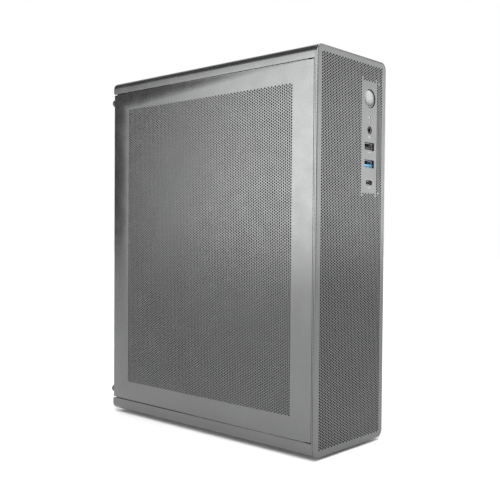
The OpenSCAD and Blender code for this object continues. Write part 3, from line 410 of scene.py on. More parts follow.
def piece(name, bm, body, slot, stands_for=(), look=None, smooth=35):
    """Makes an object of a finished bmesh and lets it ride on a body."""
    mesh = bpy.data.meshes.new(name)
    bm.to_mesh(mesh)
    bm.free()
    obj = bpy.data.objects.new(name, mesh)
    bpy.context.scene.collection.objects.link(obj)
    mesh.materials.append(finish(look or slot))
    mesh.polygons.foreach_set("use_smooth", [smooth > 0] * len(mesh.polygons))
    if smooth > 0:
        mesh.set_sharp_from_angle(angle=math.radians(smooth))
    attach(obj, body)
    if stands_for:
        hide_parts(*stands_for)
    return obj


def paint_hole_wall_shade(obj, axis):
    """Gives the walls of the holes, which stand along the sheet's axis, a darker finish as painted
    shade; the real walls are the same metal as the case.
    """
    obj.data.materials.append(finish("hole_wall_painted_shade"))
    obj.data.polygons.foreach_set(
        "material_index", [int(abs(f.normal[axis]) < 0.5) for f in obj.data.polygons])


def outline(bm, u0, u1, v0, v1, radius=0.0, segments=6, corners=None):
    """Adds the closed outline of a rectangle with rounded corners, and gives back its edges."""
    made = bmesh.ops.create_grid(bm, x_segments=1, y_segments=1, size=0.5)["verts"]
    bmesh.ops.scale(bm, vec=(u1 - u0, v1 - v0, 1), verts=made)
    bmesh.ops.translate(bm, vec=((u0 + u1) / 2, (v0 + v1) / 2, 0), verts=made)
    face = made[0].link_faces[0]
    if radius > 0:
        picked = [v for v in made if corners is None or corners(v.co)]
        bmesh.ops.bevel(bm, geom=picked, offset=radius, offset_type="OFFSET", segments=segments,
                        profile=0.5, affect="VERTICES", material=-1)
        face = min(bm.faces, key=lambda f: (f.calc_center_median()
                                            - Vector(((u0 + u1) / 2, (v0 + v1) / 2, 0))).length)
    edges = list(face.edges)
    bmesh.ops.delete(bm, geom=[face], context="FACES_ONLY")
    return edges


def ring(bm, u, v, radius, segments=48):
    """Adds a round outline and gives back its edges."""
    made = bmesh.ops.create_circle(bm, segments=segments, radius=radius)["verts"]
    bmesh.ops.translate(bm, vec=(u, v, 0), verts=made)
    return list({e for vert in made for e in vert.link_edges})


def thicken(bm, depth):
    """Gives a flat sheet its thickness, from depth 0 to the given depth."""
    made = bmesh.ops.extrude_face_region(bm, geom=bm.faces[:])["geom"]
    bmesh.ops.translate(bm, vec=(0, 0, depth),
                        verts=[g for g in made if isinstance(g, bmesh.types.BMVert)])
    bmesh.ops.recalc_face_normals(bm, faces=bm.faces[:])


def fill(bm, edges):
    """Fills the flat area between outlines."""
    bmesh.ops.triangle_fill(bm, use_beauty=True, edges=edges, normal=(0, 0, 1))


def round_edges(bm, edges, width, segments=2, clamp=False):
    bmesh.ops.bevel(bm, geom=edges, offset=width, offset_type="OFFSET", segments=segments,
                    profile=0.5, affect="EDGES", material=-1, clamp_overlap=clamp)


def everything(bm):
    return bm.verts[:] + bm.edges[:] + bm.faces[:]


def put(bm, plane, move):
    """Turns a flat drawing into its plane and moves it to its place."""
    bmesh.ops.transform(bm, matrix=Matrix.Translation(move) @ plane, verts=bm.verts[:])
    bmesh.ops.recalc_face_normals(bm, faces=bm.faces[:])


def repeat(bm, step, times):
    """Copies everything again and again, one step further each time."""
    if times > 0:
        bmesh.ops.spin(bm, geom=everything(bm), cent=(0, 0, 0),
                       axis=(0, 0, 1), dvec=step, angle=0.0, steps=times, use_duplicate=True)


def hole_field(columns, rows, pitch, hole):
    """Staggered six-sided holes in upright columns; each hole still holds its own face.

    The first hole's middle is at the origin.
    """
    bm = bmesh.new()
    made = bmesh.ops.create_circle(bm, cap_ends=True, segments=6, radius=hole / 2)["verts"]
    bmesh.ops.rotate(bm, cent=(0, 0, 0), matrix=Matrix.Rotation(THIRTY, 3, "Z"), verts=made)
    apart = pitch - hole * math.cos(THIRTY)
    far = {}
    for angle in (30, 90, -30):
        way = Vector((math.cos(math.radians(angle)), math.sin(math.radians(angle)), 0))
        edge = max((e for e in bm.edges if all(v in made for v in e.verts)),
                   key=lambda e: (e.verts[0].co + e.verts[1].co).dot(way))
        new = bmesh.ops.extrude_edge_only(bm, edges=[edge])["geom"]
        far[angle] = [g for g in new if isinstance(g, bmesh.types.BMVert)]
        bmesh.ops.translate(bm, vec=way * apart, verts=far[angle])
    for angle, pair in ((60, (30, 90)), (0, (30, -30))):
        tip = Vector((math.cos(math.radians(angle)), math.sin(math.radians(angle)), 0)) * hole / 2
        near = min(made, key=lambda v: (v.co - tip).length)
        ends = [min(far[a], key=lambda v: (v.co - tip).length) for a in pair]
        bmesh.ops.contextual_create(bm, geom=[near, *ends])
    # one more column, half a pitch up, then all rows, then all pairs of columns
    whole = everything(bm)
    copy = bmesh.ops.duplicate(bm, geom=whole)["geom"]
    bmesh.ops.translate(bm, vec=(pitch * math.cos(THIRTY), pitch / 2, 0),
                        verts=[g for g in copy if isinstance(g, bmesh.types.BMVert)])
    repeat(bm, (0, pitch, 0), rows - 1)
    repeat(bm, (2 * pitch * math.cos(THIRTY), 0, 0), columns // 2 - 1)
    bmesh.ops.remove_doubles(bm, verts=bm.verts[:], dist=pitch * 0.01)
    return bm


def trim(bm, u0, u1, v0, v1):
    """Cuts a flat sheet straight along the four sides of a rectangle and keeps what is inside."""
    for co, way in (((u0, 0, 0), (-1, 0, 0)), ((u1, 0, 0), (1, 0, 0)),
                    ((0, v0, 0), (0, -1, 0)), ((0, v1, 0), (0, 1, 0))):
        bmesh.ops.bisect_plane(bm, geom=everything(bm), dist=1e-7,
                               plane_co=co, plane_no=way, clear_outer=True)


def open_holes(bm, hole):
    """Opens the holes that no cut has touched."""
    uncut = 0.97 * 1.5 * math.sqrt(3) * (hole / 2) ** 2      # a little under a hexagon's area
    opened = [f for f in bm.faces if len(f.verts) == 6 and f.calc_area() > uncut]
    bmesh.ops.delete(bm, geom=opened, context="FACES_ONLY")


def field(u0, u1, v0, v1, pitch, hole):
    """Flat sheet of holes, still closed, that fills a window from edge to edge."""
    step = pitch * math.cos(THIRTY)
    columns = (math.ceil((u1 - u0) / step) + 3) // 2 * 2
    rows = math.ceil((v1 - v0) / pitch) + 3
    bm = hole_field(columns, rows, pitch, hole)
    bmesh.ops.translate(bm, verts=bm.verts[:], vec=(
        (u0 + u1 - (columns - 1) * step) / 2, (v0 + v1 - (rows - 0.5) * pitch) / 2, 0))
    trim(bm, u0, u1, v0, v1)
    return bm


# ---- front panel --------------------------------------------------------------------------------


def strip_cutouts(bm, gap):
    """Outlines of the holes in the plain strip of the front panel."""
    edges = []
    button = middle("power_button")
    edges += ring(bm, button.x, button.z, span("power_button").x / 2 + gap, 64)
    low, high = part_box("led_pipes")
    for z in (low.z + 1.6 * MM, high.z - 1.6 * MM):
        edges += ring(bm, (low.x + high.x) / 2, z, 1.2 * MM, 20)
    jack = middle("audio_jack")
    edges += ring(bm, jack.x, jack.z, 3.1 * MM + gap, 40)
    for name, radius in (("usb2_port", 0.5), ("usb3_port", 0.5), ("usbc_port", 2.05)):
        low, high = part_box(name)
        edges += outline(bm, low.x - gap, high.x + gap, low.z - gap, high.z + gap, radius * MM, 5)
    return edges


class TOWER_OT_front_panel(bpy.types.Operator):
    """Front panel: a sheet full of small holes, its plain strip and its rounded rim"""
    bl_idname = "tower.front_panel"
    bl_label = "Front panel"

    def execute(self, context):
        holes, sheets = context.scene.tower_holes, context.scene.tower_sheets
        low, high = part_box("front_panel")
        board_low, board_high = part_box("io_board")
        strip_x = (board_low.x + board_high.x) / 2
        margin, r, half = holes.front_margin, sheets.rim, sheets.strip / 2
        window = (low.x + margin, high.x - margin, low.z + margin, high.z - margin)
        plate = (strip_x - half, strip_x + half, board_low.z, board_high.z)
        bm = field(*window, holes.pitch, holes.hole)
        self.cut_out(bm, *plate)
        open_holes(bm, holes.hole)
        edges = outline(bm, *window)
        edges += outline(bm, low.x + r, high.x - r, low.z + r, high.z - r, sheets.corner - r, 8)
        fill(bm, edges)
        edges = outline(bm, *plate) + strip_cutouts(bm, sheets.gap)
        fill(bm, edges)
        thicken(bm, high.y - low.y)
        put(bm, FRONT, (0, low.y, 0))
        piece("front_panel_holes", bm, "front_panel", "case_metal", ("front_panel",), smooth=0)
        self.dust_filter(high.y, window, plate)

        bm = bmesh.new()
        edges = outline(bm, low.x, high.x, low.z, high.z, sheets.corner, 8)
        edges += outline(bm, low.x + r, high.x - r, low.z + r, high.z - r, sheets.corner - r, 8)
        fill(bm, edges)
        thicken(bm, high.y - low.y)
        out = [e for e in bm.edges if all(abs(v.co.z) < 1e-6 and self.on_outside(
            v.co, low, high, sheets.corner) for v in e.verts) and e.calc_face_angle(0) > 0.5]
        round_edges(bm, out, sheets.rim_round, 4)
        put(bm, FRONT, (0, low.y, 0))
        piece("front_panel_rim", bm, "front_panel", "case_metal", ("front_panel",))
        return {"FINISHED"}

    @staticmethod
    def dust_filter(back, window, plate):
        """Fine black dust filter behind the holes; it stays clear of the sockets."""
        bm = bmesh.new()
        room = 1 * MM
        edges = outline(bm, *window) + outline(bm, plate[0] - room, plate[1] + room,
                                               plate[2] - room, plate[3] + room)
        fill(bm, edges)
        thicken(bm, FILTER_THICK)
        put(bm, FRONT, (0, back + FILTER_GAP, 0))
        piece("front_panel_filter", bm, "front_panel", "black_plastic", (), "filter_mesh", smooth=0)

    @staticmethod
    def cut_out(bm, u0, u1, v0, v1):
        """Cuts a rectangle out of a flat sheet; only the faces round it are divided."""
        reach = 3 * MM               # a little more than one hole's pitch
        for side, at, low, high in ((0, u0, v0, v1), (0, u1, v0, v1),
                                    (1, v0, u0, u1), (1, v1, u0, u1)):
            near = [f for f in bm.faces
                    if low - reach < f.calc_center_median()[1 - side] < high + reach
                    and abs(f.calc_center_median()[side] - at) < reach]
            around = {g for f in near for g in (f, *f.edges, *f.verts)}
            way = Vector((1, 0, 0)) if side == 0 else Vector((0, 1, 0))
            bmesh.ops.bisect_plane(bm, geom=list(around), dist=1e-7,
                                   plane_co=way * at, plane_no=way)
        inside = [f for f in bm.faces if u0 < f.calc_center_median().x < u1
                  and v0 < f.calc_center_median().y < v1]
        bmesh.ops.delete(bm, geom=inside, context="FACES")

    @staticmethod
    def on_outside(co, low, high, corner):
        """True on the outer outline of the panel, false on the rim's inner outline."""
        x = max(abs(co.x - (low.x + high.x) / 2) - ((high.x - low.x) / 2 - corner), 0)
        z = max(abs(co.y - (low.z + high.z) / 2) - ((high.z - low.z) / 2 - corner), 0)
        return math.hypot(x, z) > corner - 0.05 * MM


# ---- side panels --------------------------------------------------------------------------------


def side_sizes(context, name):
    """Outer plane and edges of a side panel, without its runners."""
    low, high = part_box(name)
    reach = 5.3 * MM                 # runner and seam below the sheet
    outer = low.x if name.startswith("left") else high.x
    return outer, low.y, high.y, low.z + reach, high.z - reach


def window_of(context, y1, z0, z1):
    holes = context.scene.tower_holes
    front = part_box("front_panel")[0].y
    return front + holes.side_front, y1 - holes.side_rear, z0 + holes.side_low, z1 - holes.side_high


def side_fields(context, y0, y1, z0, z1):
    """Flat sheets of holes that fill a side panel's window: an upper and a lower half."""
    holes = context.scene.tower_holes
    whole = field(y0, y1, z0, z1, holes.pitch, holes.hole)
    middle_row = (z0 + z1) / 2 - 0.25 * holes.pitch
    open_holes(whole, holes.hole)
    halves = []
    for way in (1, -1):
        part = whole.copy()
        bmesh.ops.bisect_plane(part, geom=everything(part), dist=1e-7,
                               plane_co=(0, middle_row, 0), plane_no=(0, way, 0), clear_inner=True)
        halves.append(part)
    whole.free()
    return halves


def folded_sheet(context, y0, y1, z0, z1, window, flange, thumb):
    """Outer skin of a side panel, flat, then folded at its rear edge; depth runs into the case."""
    fold = context.scene.tower_sheets.fold
    arc, start = math.pi / 2 * fold, y1 - fold
    end = start + arc + flange - fold
    bm = bmesh.new()
    edges = outline(bm, y0, end, z0, z1, 2 * MM, 6, lambda co: co.x > y1)
    edges += outline(bm, *window)
    for z in thumb[1]:
        edges += ring(bm, start + arc + thumb[0] - fold, z, 1.75 * MM, 32)
    fill(bm, edges)
    steps = 6
    lines = [start + arc * (k + 0.5) / steps for k in range(steps)]
    for line in lines:
        bmesh.ops.bisect_plane(bm, geom=everything(bm), dist=1e-7,
                               plane_co=(line, 0, 0), plane_no=(1, 0, 0))
    beyond = [[v for v in bm.verts if v.co.x > line + 1e-6] for line in lines]
    for line, verts in reversed(list(zip(lines, beyond))):
        bmesh.ops.rotate(bm, cent=(line, 0, 0), verts=verts,
                         matrix=Matrix.Rotation(-math.pi / 2 / steps, 3, "Y"))
    return bm


class TOWER_OT_side_panels(bpy.types.Operator):
    """Side panels: folded sheets with a large window of small holes and runners top and bottom"""
    bl_idname = "tower.side_panels"
    bl_label = "Side panels"

    def execute(self, context):
        sheets = context.scene.tower_sheets
        for name, way in (("left_panel", 1), ("right_panel", -1)):
            outer, y0, y1, z0, z1 = side_sizes(context, name)
            window = window_of(context, y1, z0, z1)
            plate = 1.2 * MM
            mirror = Matrix.Diagonal((way, 1, 1, 1))
            place = Matrix.Translation((outer, 0, 0)) @ mirror @ SIDE
            for part, half in zip(("upper", "lower"), side_fields(context, *window)):
                thicken(half, plate)
                bmesh.ops.transform(half, matrix=place, verts=half.verts[:])
                bmesh.ops.recalc_face_normals(half, faces=half.faces[:])
                paint_hole_wall_shade(piece(f"{name}_holes_{part}", half, name, "case_metal", (name,),
                                 smooth=0), 0)

            bm = bmesh.new()
            near, over = plate + FILTER_GAP, 2 * MM
            block(bm, outer + way * near, outer + way * (near + FILTER_THICK), window[0] - over,
                  window[1] + over, window[2] - over, window[3] + over)
            bmesh.ops.recalc_face_normals(bm, faces=bm.faces[:])
            piece(f"{name}_filter", bm, name, "black_plastic", (), "filter_mesh", smooth=0)

            low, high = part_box(name)
            screws = [n for n in NODES if n.startswith("thumbscrew_" + name.split("_")[0])]
            thumb = (abs(abs(middle(screws[0]).x) - abs(outer)), [middle(n).z for n in screws])
            bm = folded_sheet(context, y0, y1, z0, z1, window, high.x - low.x, thumb)
            bmesh.ops.transform(bm, matrix=place, verts=bm.verts[:])
            bmesh.ops.recalc_face_normals(bm, faces=bm.faces[:])
            flat = next(f for f in bm.faces if abs(f.calc_center_median().x - outer) < 1e-5)
            if flat.normal.x * way > 0:
                bmesh.ops.reverse_faces(bm, faces=bm.faces[:])
            bmesh.ops.solidify(bm, geom=bm.faces[:], thickness=plate)
            bmesh.ops.recalc_face_normals(bm, faces=bm.faces[:])
            cut = [e for e in bm.edges if e.calc_face_angle(0) > math.radians(60)
                   and not self.at_window(e, window)]
            round_edges(bm, cut, sheets.edge)
            piece(f"{name}_sheet", bm, name, "case_metal", (name,), smooth=20)
            self.runners(name, way, outer, y0, y1, z0, z1)
        return {"FINISHED"}

    @staticmethod
    def at_window(edge, window):
        """True on the cut edge that the sheet of holes fills."""
        m = (edge.verts[0].co + edge.verts[1].co) / 2
        room = 0.01 * MM
        return (window[0] - room < m.y < window[1] + room
                and window[2] - room < m.z < window[3] + room)

    @staticmethod
    def runners(name, way, outer, y0, y1, z0, z1):
        """Z-shaped strips behind the upper and lower edges; they slide behind the shells."""
        low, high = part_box(name)
        bm = bmesh.new()
        for edge, sign in ((z0, 1), (z1, -1)):
            for near, far, a, b in ((1.2, 3.0, 0.6, 5.0), (1.8, 3.0, -5.3, 0.7)):
                made = bmesh.ops.create_cube(bm, size=1.0)["verts"]
                zs = sorted((edge + sign * a * MM, edge + sign * b * MM))
                xs = sorted((outer + way * near * MM, outer + way * far * MM))
                bmesh.ops.scale(bm, verts=made, vec=(
                    xs[1] - xs[0], y1 - y0 - 22 * MM, zs[1] - zs[0]))
                bmesh.ops.translate(bm, verts=made, vec=(
                    sum(xs) / 2, (y0 + 8 * MM + y1 - 14 * MM) / 2, sum(zs) / 2))
        round_edges(bm, bm.edges[:], 0.2 * MM)
        piece(f"{name}_runners", bm, name, "case_metal", (name,))


# ---- button and sockets -------------------------------------------------------------------------


def turned(bm, profile, centre, steps=64):
    """Spins a profile of radius and depth round a line along Y through the centre."""
    verts = [bm.verts.new((centre.x + r, y, centre.z)) for r, y in profile]
    edges = [bm.edges.new(pair) for pair in zip(verts, verts[1:])]
    bmesh.ops.spin(bm, geom=verts + edges, cent=centre, axis=(0, 1, 0), angle=math.tau,
                   steps=steps, use_merge=True)
    bmesh.ops.remove_doubles(bm, verts=bm.verts[:], dist=1e-6)
    bmesh.ops.recalc_face_normals(bm, faces=bm.faces[:])


def block(bm, x0, x1, y0, y1, z0, z1, edge=0.0, segments=2):
    """A box with rounded edges."""
    made = bmesh.ops.create_cube(bm, size=1.0)["verts"]
    bmesh.ops.scale(bm, verts=made, vec=(x1 - x0, y1 - y0, z1 - z0))
    bmesh.ops.translate(bm, verts=made, vec=((x0 + x1) / 2, (y0 + y1) / 2, (z0 + z1) / 2))
    if edge > 0:
        edges = list({e for v in made for e in v.link_edges})
        round_edges(bm, edges, edge, segments)


class TOWER_OT_power_button(bpy.types.Operator):
    """Spun power button: a shallow dish with a raised, rounded rim and its plunger"""
    bl_idname = "tower.power_button"
    bl_label = "Power button"

    def execute(self, context):
        low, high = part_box("power_button")
        centre, r = middle("power_button"), span("power_button").x / 2
        y = low.y
        bm = bmesh.new()
        profile = [(0, y + 0.62 * MM), (0.25 * r, y + 0.58 * MM), (0.5 * r, y + 0.46 * MM),
                   (0.75 * r, y + 0.26 * MM), (0.87 * r, y + 0.1 * MM), (0.91 * r, y),
                   (0.955 * r, y + 0.02 * MM), (0.985 * r, y + 0.16 * MM), (r, y + 0.42 * MM),
                   (r, y + 6 * MM), (2.2 * MM, y + 6 * MM), (2.2 * MM, high.y), (0, high.y)]
        turned(bm, profile, centre, 96)
        piece("power_button_cap", bm, "power_button", "button_metal", ("power_button",))
        return {"FINISHED"}


class TOWER_OT_front_sockets(bpy.types.Operator):
    """Front sockets: steel shells, tongues with contacts, the audio jack and its collar"""
    bl_idname = "tower.front_sockets"
    bl_label = "Front sockets"

    def execute(self, context):
        self.wide_socket("usb2_port", "tongue_black")
        self.wide_socket("usb3_port", "tongue_blue")
        self.small_socket()
        self.jack()
        return {"FINISHED"}

    @staticmethod
    def shell(name, wall, radius, back):
        """Folded steel tube with an open mouth and a closed back."""
        low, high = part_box(name)
        bm = bmesh.new()
        edges = outline(bm, low.x, high.x, low.z, high.z, radius, 5)
        edges += outline(bm, low.x + wall, high.x - wall, low.z + wall, high.z - wall,
                         max(radius - wall, 0.1 * MM), 5)
        fill(bm, edges)
        thicken(bm, back - low.y)
        put(bm, FRONT, (0, low.y, 0))
        lip = [e for e in bm.edges if all(abs(v.co.y - low.y) < 1e-6 for v in e.verts)
               and e.calc_face_angle(0) > 0.8]
        round_edges(bm, lip, 0.1 * MM)
        block(bm, low.x, high.x, back, high.y, low.z, high.z, 0.1 * MM)
        piece(f"{name}_shell", bm, BODY_OF[name], "bright_steel", (name,))

    def wide_socket(self, name, look):
        low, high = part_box(name)
        back = high.y - 2 * MM
        self.shell(name, 0.35 * MM, 0.7 * MM, back)
        z = (low.z + high.z) / 2 - 1.15 * MM
        bm = bmesh.new()
        block(bm, low.x + 1.3 * MM, high.x - 1.3 * MM, low.y + 0.5 * MM, back + 0.2 * MM,
              z - 0.95 * MM, z + 0.95 * MM, 0.15 * MM)
        block(bm, low.x + 0.4 * MM, high.x - 0.4 * MM, back - 0.8 * MM, back + 0.2 * MM,
              low.z + 0.4 * MM, high.z - 0.4 * MM, 0.1 * MM)
        piece(f"{name}_tongue", bm, BODY_OF[name], "black_plastic", (name,), look)
        bm = bmesh.new()
        for k in range(4):
            x = (low.x + high.x) / 2 + (k - 1.5) * 2.3 * MM
            block(bm, x - 0.5 * MM, x + 0.5 * MM, low.y + 1.2 * MM, back - 0.9 * MM,
                  z + 0.9 * MM, z + 1.1 * MM, 0.05 * MM, 1)
        piece(f"{name}_contacts", bm, BODY_OF[name], "brass", (name,), "contact_gold")

    def small_socket(self):
        name = "usbc_port"
        low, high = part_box(name)
        back = high.y - 2 * MM
        self.shell(name, 0.3 * MM, 1.6 * MM, back)
        z = (low.z + high.z) / 2
        bm = bmesh.new()
        block(bm, low.x + 1.2 * MM, high.x - 1.2 * MM, low.y + 0.5 * MM, back + 0.2 * MM,
              z - 0.35 * MM, z + 0.35 * MM, 0.15 * MM)
        block(bm, low.x + 0.6 * MM, high.x - 0.6 * MM, low.y + 7 * MM, back + 0.2 * MM,
              low.z + 0.35 * MM, high.z - 0.35 * MM, 0.1 * MM)
        piece(f"{name}_tongue", bm, BODY_OF[name], "black_plastic", (name,), "tongue_black")

    @staticmethod
    def jack():
        name = "audio_jack"
        low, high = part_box(name)
        centre, y = middle(name), low.y
        bm = bmesh.new()
        profile = [(1.8 * MM, y + 14 * MM), (1.8 * MM, y + 0.35 * MM), (2.05 * MM, y + 0.05 * MM),
                   (2.3 * MM, y), (2.85 * MM, y), (3.05 * MM, y + 0.12 * MM),
                   (3.1 * MM, y + 0.4 * MM), (3.1 * MM, y + 14.6 * MM)]
        turned(bm, profile, centre, 48)
        for end in (y + 14 * MM, y + 14.6 * MM):
            bmesh.ops.contextual_create(bm, geom=[
                e for e in bm.edges if e.is_boundary and abs(e.verts[0].co.y - end) < 0.1 * MM])
        bmesh.ops.recalc_face_normals(bm, faces=bm.faces[:])
        piece(f"{name}_collar", bm, BODY_OF[name], "black_zinc", (name,))
        bm = bmesh.new()
        block(bm, centre.x - 4 * MM, centre.x + 4 * MM, y + 3.1 * MM, high.y, centre.z - 3.6 * MM,
              centre.z + 3.6 * MM, 0.3 * MM)
        piece(f"{name}_body", bm, BODY_OF[name], "black_plastic", (name,))


class TOWER_OT_marks(bpy.types.Operator):
    """Small printed marks under the sockets: a ring, and twice a bar with a dot"""
    bl_idname = "tower.marks"
    bl_label = "Printed marks"

    def execute(self, context):
        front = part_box("front_panel")[0].y
        x = middle("power_button").x
        bm = bmesh.new()
        thin, proud = 0.28 * MM, 0.02 * MM
        # a ring under the audio jack
        jack = middle("audio_jack").z - 6.4 * MM
        edges = ring(bm, x, jack, 1.15 * MM, 28) + ring(bm, x, jack, 1.15 * MM - thin, 28)
        fill(bm, edges)
        # a bar and a dot under the upper wide socket and under the small one
        for name, drop in (("usb2_port", 5.5), ("usbc_port", 4.6)):
            z = middle(name).z - drop * MM
            edges = outline(bm, x - 1.5 * MM, x + 0.6 * MM, z - thin / 2, z + thin / 2,
                            thin * 0.4, 3)
            fill(bm, edges)
            edges = ring(bm, x + 1.4 * MM, z, 0.45 * MM, 20)
            fill(bm, edges)
        thicken(bm, proud)
        put(bm, FRONT, (0, front - 0.004 * MM, 0))
        piece("printed_marks", bm, "front_panel", "case_metal", (), "print_grey")
        return {"FINISHED"}


# ---- carried-over pieces ------------------------------------------------------------------------


def softened(name):
    """A copy of a CAD piece with its small edge rounding, which stands for it."""
    bm = bmesh.new()
    bm.from_mesh(NODES[name].data)
    bmesh.ops.remove_doubles(bm, verts=bm.verts[:], dist=1e-6)
    bmesh.ops.dissolve_limit(bm, angle_limit=math.radians(2), verts=bm.verts[:], edges=bm.edges[:],
                             use_dissolve_boundaries=False)
    edges = [e for e in bm.edges if e.calc_face_angle(0) > math.radians(40)]
    round_edges(bm, edges, 0.25 * MM, clamp=True)
    piece(f"{name}_rounded", bm, BODY_OF[name], SLOTS[name], (name,), smooth=20)


class TOWER_OT_shells(bpy.types.Operator):
    """Top and bottom shells and the feet with lightly rounded edges"""
    bl_idname = "tower.shells"
    bl_label = "Shells and feet"

    def execute(self, context):
        for name in ("top_shell", "bottom_shell", "feet"):
            softened(name)
        return {"FINISHED"}


class TOWER_OT_supply_inside(bpy.types.Operator):
    """Inside of the power supply: its board, two heatsinks, a transformer and its capacitors"""
    bl_idname = "tower.supply_inside"
    bl_label = "Power supply's inside"

    def execute(self, context):
        low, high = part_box("psu_case")
        room, body = 5 * MM, BODY_OF["psu_case"]
        board = high.x - 6 * MM
        y0, y1, z0, z1 = low.y + room, high.y - room, low.z + room, high.z - room
        bm = bmesh.new()
        block(bm, board, board + 1.6 * MM, y0, y1, z0, z1, 0.1 * MM)
        piece("supply_board", bm, body, "circuit_board")
        bm = bmesh.new()
        for z in (z0 + 0.30 * (z1 - z0), z0 + 0.72 * (z1 - z0)):
            block(bm, board - 20 * MM, board, y0 + room, y1 - room,
                  z - 1.2 * MM, z + 1.2 * MM, 0.2 * MM)
        piece("supply_heatsinks", bm, body, "dark_aluminium")
        bm = bmesh.new()
        mid = (y0 + y1) / 2
        block(bm, board - 18 * MM, board, mid - 14 * MM, mid + 14 * MM,
              z0 + 45 * MM, z0 + 72 * MM, 0.8 * MM)
        for k in range(4):
            made = bmesh.ops.create_cone(
                bm, cap_ends=True, segments=28, radius1=5 * MM, radius2=5 * MM, depth=17 * MM,
                matrix=Matrix.Translation((board - 8.5 * MM, y0 + (14 + 18 * k) * MM, z1 - 10 * MM))
                @ Matrix.Rotation(math.pi / 2, 4, "Y"))["verts"]
            rims = [e for e in {e for v in made for e in v.link_edges} if e.calc_face_angle(0) > 1]
            round_edges(bm, rims, 0.5 * MM)
        piece("supply_parts", bm, body, "black_plastic")
        return {"FINISHED"}


class TOWER_OT_finishes(bpy.types.Operator):
    """Gives every carried-over piece the finish of its material slot"""
    bl_idname = "tower.finishes"
    bl_label = "Finishes"

    def execute(self, context):
        special = {"sata_cable": "cable_red", "usb3_port": "tongue_blue"}
        for name, obj in NODES.items():
            look = finish(special.get(name, SLOTS[name]))
            for place in obj.material_slots:
                place.material = look
            if not obj.material_slots:
                obj.data.materials.append(look)
        return {"FINISHED"}


# ---- studio -------------------------------------------------------------------------------------


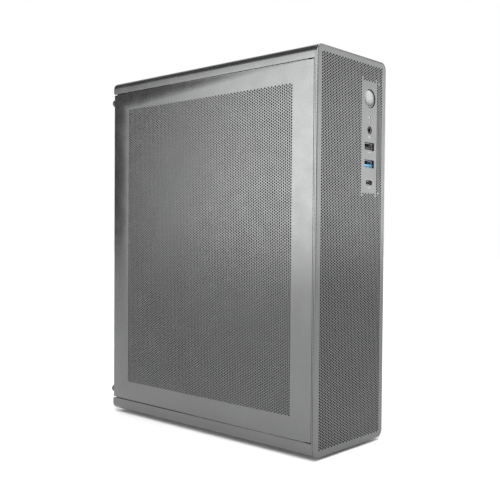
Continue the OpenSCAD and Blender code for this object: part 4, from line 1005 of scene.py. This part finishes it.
class TOWER_OT_studio(bpy.types.Operator):
    """Pale floor, soft light from all round with a brighter side, and the camera"""
    bl_idname = "tower.studio"
    bl_label = "Studio"

    def execute(self, context):
        self.floor(context)
        self.sky(context)
        self.lamps(context)
        self.camera(context)
        context.scene.view_settings.view_transform = "Standard"
        return {"FINISHED"}

    @staticmethod
    def floor(context):
        bm = bmesh.new()
        bmesh.ops.create_grid(bm, x_segments=1, y_segments=1, size=6)
        mesh = bpy.data.meshes.new("floor")
        bm.to_mesh(mesh)
        bm.free()
        obj = bpy.data.objects.new("floor", mesh)
        context.scene.collection.objects.link(obj)
        f = Finish("floor_paint", (0.96, 0.96, 0.96), 0.0, 0.6)
        f.mottle(3, 0.01)
        mesh.materials.append(f.mat)

    @staticmethod
    def sky(context):
        """Light by direction: brighter to the left and above, darker behind on the left."""
        studio = context.scene.tower_studio
        world = bpy.data.worlds.new("studio")
        context.scene.world = world
        world.use_nodes = True
        tree = world.node_tree
        tree.nodes.clear()
        new, link = tree.nodes.new, tree.links.new
        out, mix = new("ShaderNodeOutputWorld"), new("ShaderNodeMixShader")
        path = new("ShaderNodeLightPath")
        seen, lit = new("ShaderNodeBackground"), new("ShaderNodeBackground")
        coords = new("ShaderNodeTexCoord")
        total = None
        # each: left of +Y, height, full within, gone beyond (degrees), strength
        lobes = ((63, 1, 13, 30, 5.6), (-127, -2, 6, 26, 3.2), (-92, -2, 4, 20, 1.8),
                 (-162, -2, 4, 20, 1.8), (-45, 10, 10, 50, 1.3), (140, 12, 10, 45, 1.2),
                 (0, 90, 6, 26, 8.0))
        for turn, height, full, gone, strength in lobes:
            turn, height = math.radians(turn), math.radians(height)
            way = (-math.sin(turn) * math.cos(height), math.cos(turn) * math.cos(height),
                   math.sin(height))
            start, end = math.cos(math.radians(gone)), math.cos(math.radians(full))
            dot = new("ShaderNodeVectorMath")
            dot.operation = "DOT_PRODUCT"
            dot.inputs[1].default_value = Vector(way).normalized()
            link(coords.outputs["Generated"], dot.inputs[0])
            ramp = new("ShaderNodeMapRange")
            ramp.interpolation_type = "SMOOTHSTEP"
            ramp.inputs["From Min"].default_value = start
            ramp.inputs["From Max"].default_value = end
            ramp.inputs["To Max"].default_value = strength
            link(dot.outputs["Value"], ramp.inputs["Value"])
            if total is None:
                total = ramp.outputs["Result"]
            else:
                plus = new("ShaderNodeMath")
                link(total, plus.inputs[0])
                link(ramp.outputs["Result"], plus.inputs[1])
                total = plus.outputs["Value"]
        base = new("ShaderNodeMath")
        base.inputs[1].default_value = studio.sky
        link(total, base.inputs[0])
        link(base.outputs["Value"], lit.inputs["Strength"])
        link(path.outputs["Is Camera Ray"], mix.inputs["Fac"])
        link(lit.outputs["Background"], mix.inputs[1])
        link(seen.outputs["Background"], mix.inputs[2])
        seen.inputs["Color"].default_value = (1, 1, 1, 1)
        lit.inputs["Color"].default_value = (1, 1, 1, 1)
        link(mix.outputs["Shader"], out.inputs["Surface"])

    @staticmethod
    def lamps(context):
        studio = context.scene.tower_studio
        for name, place, aim, size, power in (
                ("key", (-0.42, -0.4, 0.6), (-0.2, -0.08, 0), 0.4, studio.key),
                ("fill", (0.6, -0.75, 0.9), (0.2, -0.4, 0), 0.5, studio.key * 0.8)):
            aim = Vector(aim)
            lamp = bpy.data.lights.new(name, "AREA")
            lamp.size, lamp.energy = size, power
            obj = bpy.data.objects.new(name, lamp)
            obj.location = place
            obj.rotation_mode = "QUATERNION"
            obj.rotation_quaternion = (aim - Vector(place)).to_track_quat("-Z", "Y")
            context.scene.collection.objects.link(obj)

    @staticmethod
    def camera(context):
        studio = context.scene.tower_studio
        data = bpy.data.cameras.new("camera")
        data.lens, data.sensor_width = studio.lens, 36.0
        data.shift_x, data.shift_y = studio.shift
        data.clip_start, data.clip_end = 0.01, 50
        cam = bpy.data.objects.new("camera", data)
        context.scene.collection.objects.link(cam)
        a, e, roll = studio.azimuth, studio.elevation, studio.roll
        ahead = Vector((math.sin(a) * math.cos(e), math.cos(a) * math.cos(e), -math.sin(e)))
        right = ahead.cross(Vector((0, 0, 1))).normalized()
        up = right.cross(ahead)
        low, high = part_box("front_panel")
        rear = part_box("left_panel")[1].y
        aim = Vector((0, (low.y + rear) / 2, (low.z + high.z) / 2))
        place = aim - ahead * studio.distance + right * studio.aside[0] + up * studio.aside[1]
        x = right * math.cos(roll) + up * math.sin(roll)
        y = up * math.cos(roll) - right * math.sin(roll)
        turn = Matrix((x, y, -ahead)).transposed().to_4x4()
        cam.matrix_world = Matrix.Translation(place) @ turn
        context.scene.camera = cam


# ---- panel and registration ---------------------------------------------------------------------

OPERATORS = (TOWER_OT_front_panel, TOWER_OT_side_panels, TOWER_OT_power_button,
             TOWER_OT_front_sockets, TOWER_OT_marks, TOWER_OT_shells,
             TOWER_OT_supply_inside, TOWER_OT_finishes,
             TOWER_OT_studio)


class TOWER_PT_build(bpy.types.Panel):
    """Lists the steps that build the computer"""
    bl_idname = "TOWER_PT_build"
    bl_label = "Desktop Tower"
    bl_space_type = "VIEW_3D"
    bl_region_type = "UI"
    bl_category = "Tower"

    def draw(self, context):
        for step in OPERATORS:
            self.layout.operator(step.bl_idname)


def register():
    for cls in (*GROUPS.values(), *OPERATORS, TOWER_PT_build):
        bpy.utils.register_class(cls)
    for name, cls in GROUPS.items():
        setattr(bpy.types.Scene, name, bpy.props.PointerProperty(type=cls))


def unregister():
    for name in GROUPS:
        delattr(bpy.types.Scene, name)
    for cls in reversed((*GROUPS.values(), *OPERATORS, TOWER_PT_build)):
        bpy.utils.unregister_class(cls)


def main():
    register()
    for step in OPERATORS:
        group, name = step.bl_idname.split(".")
        getattr(getattr(bpy.ops, group), name)()


if __name__ == "__main__":
    main()
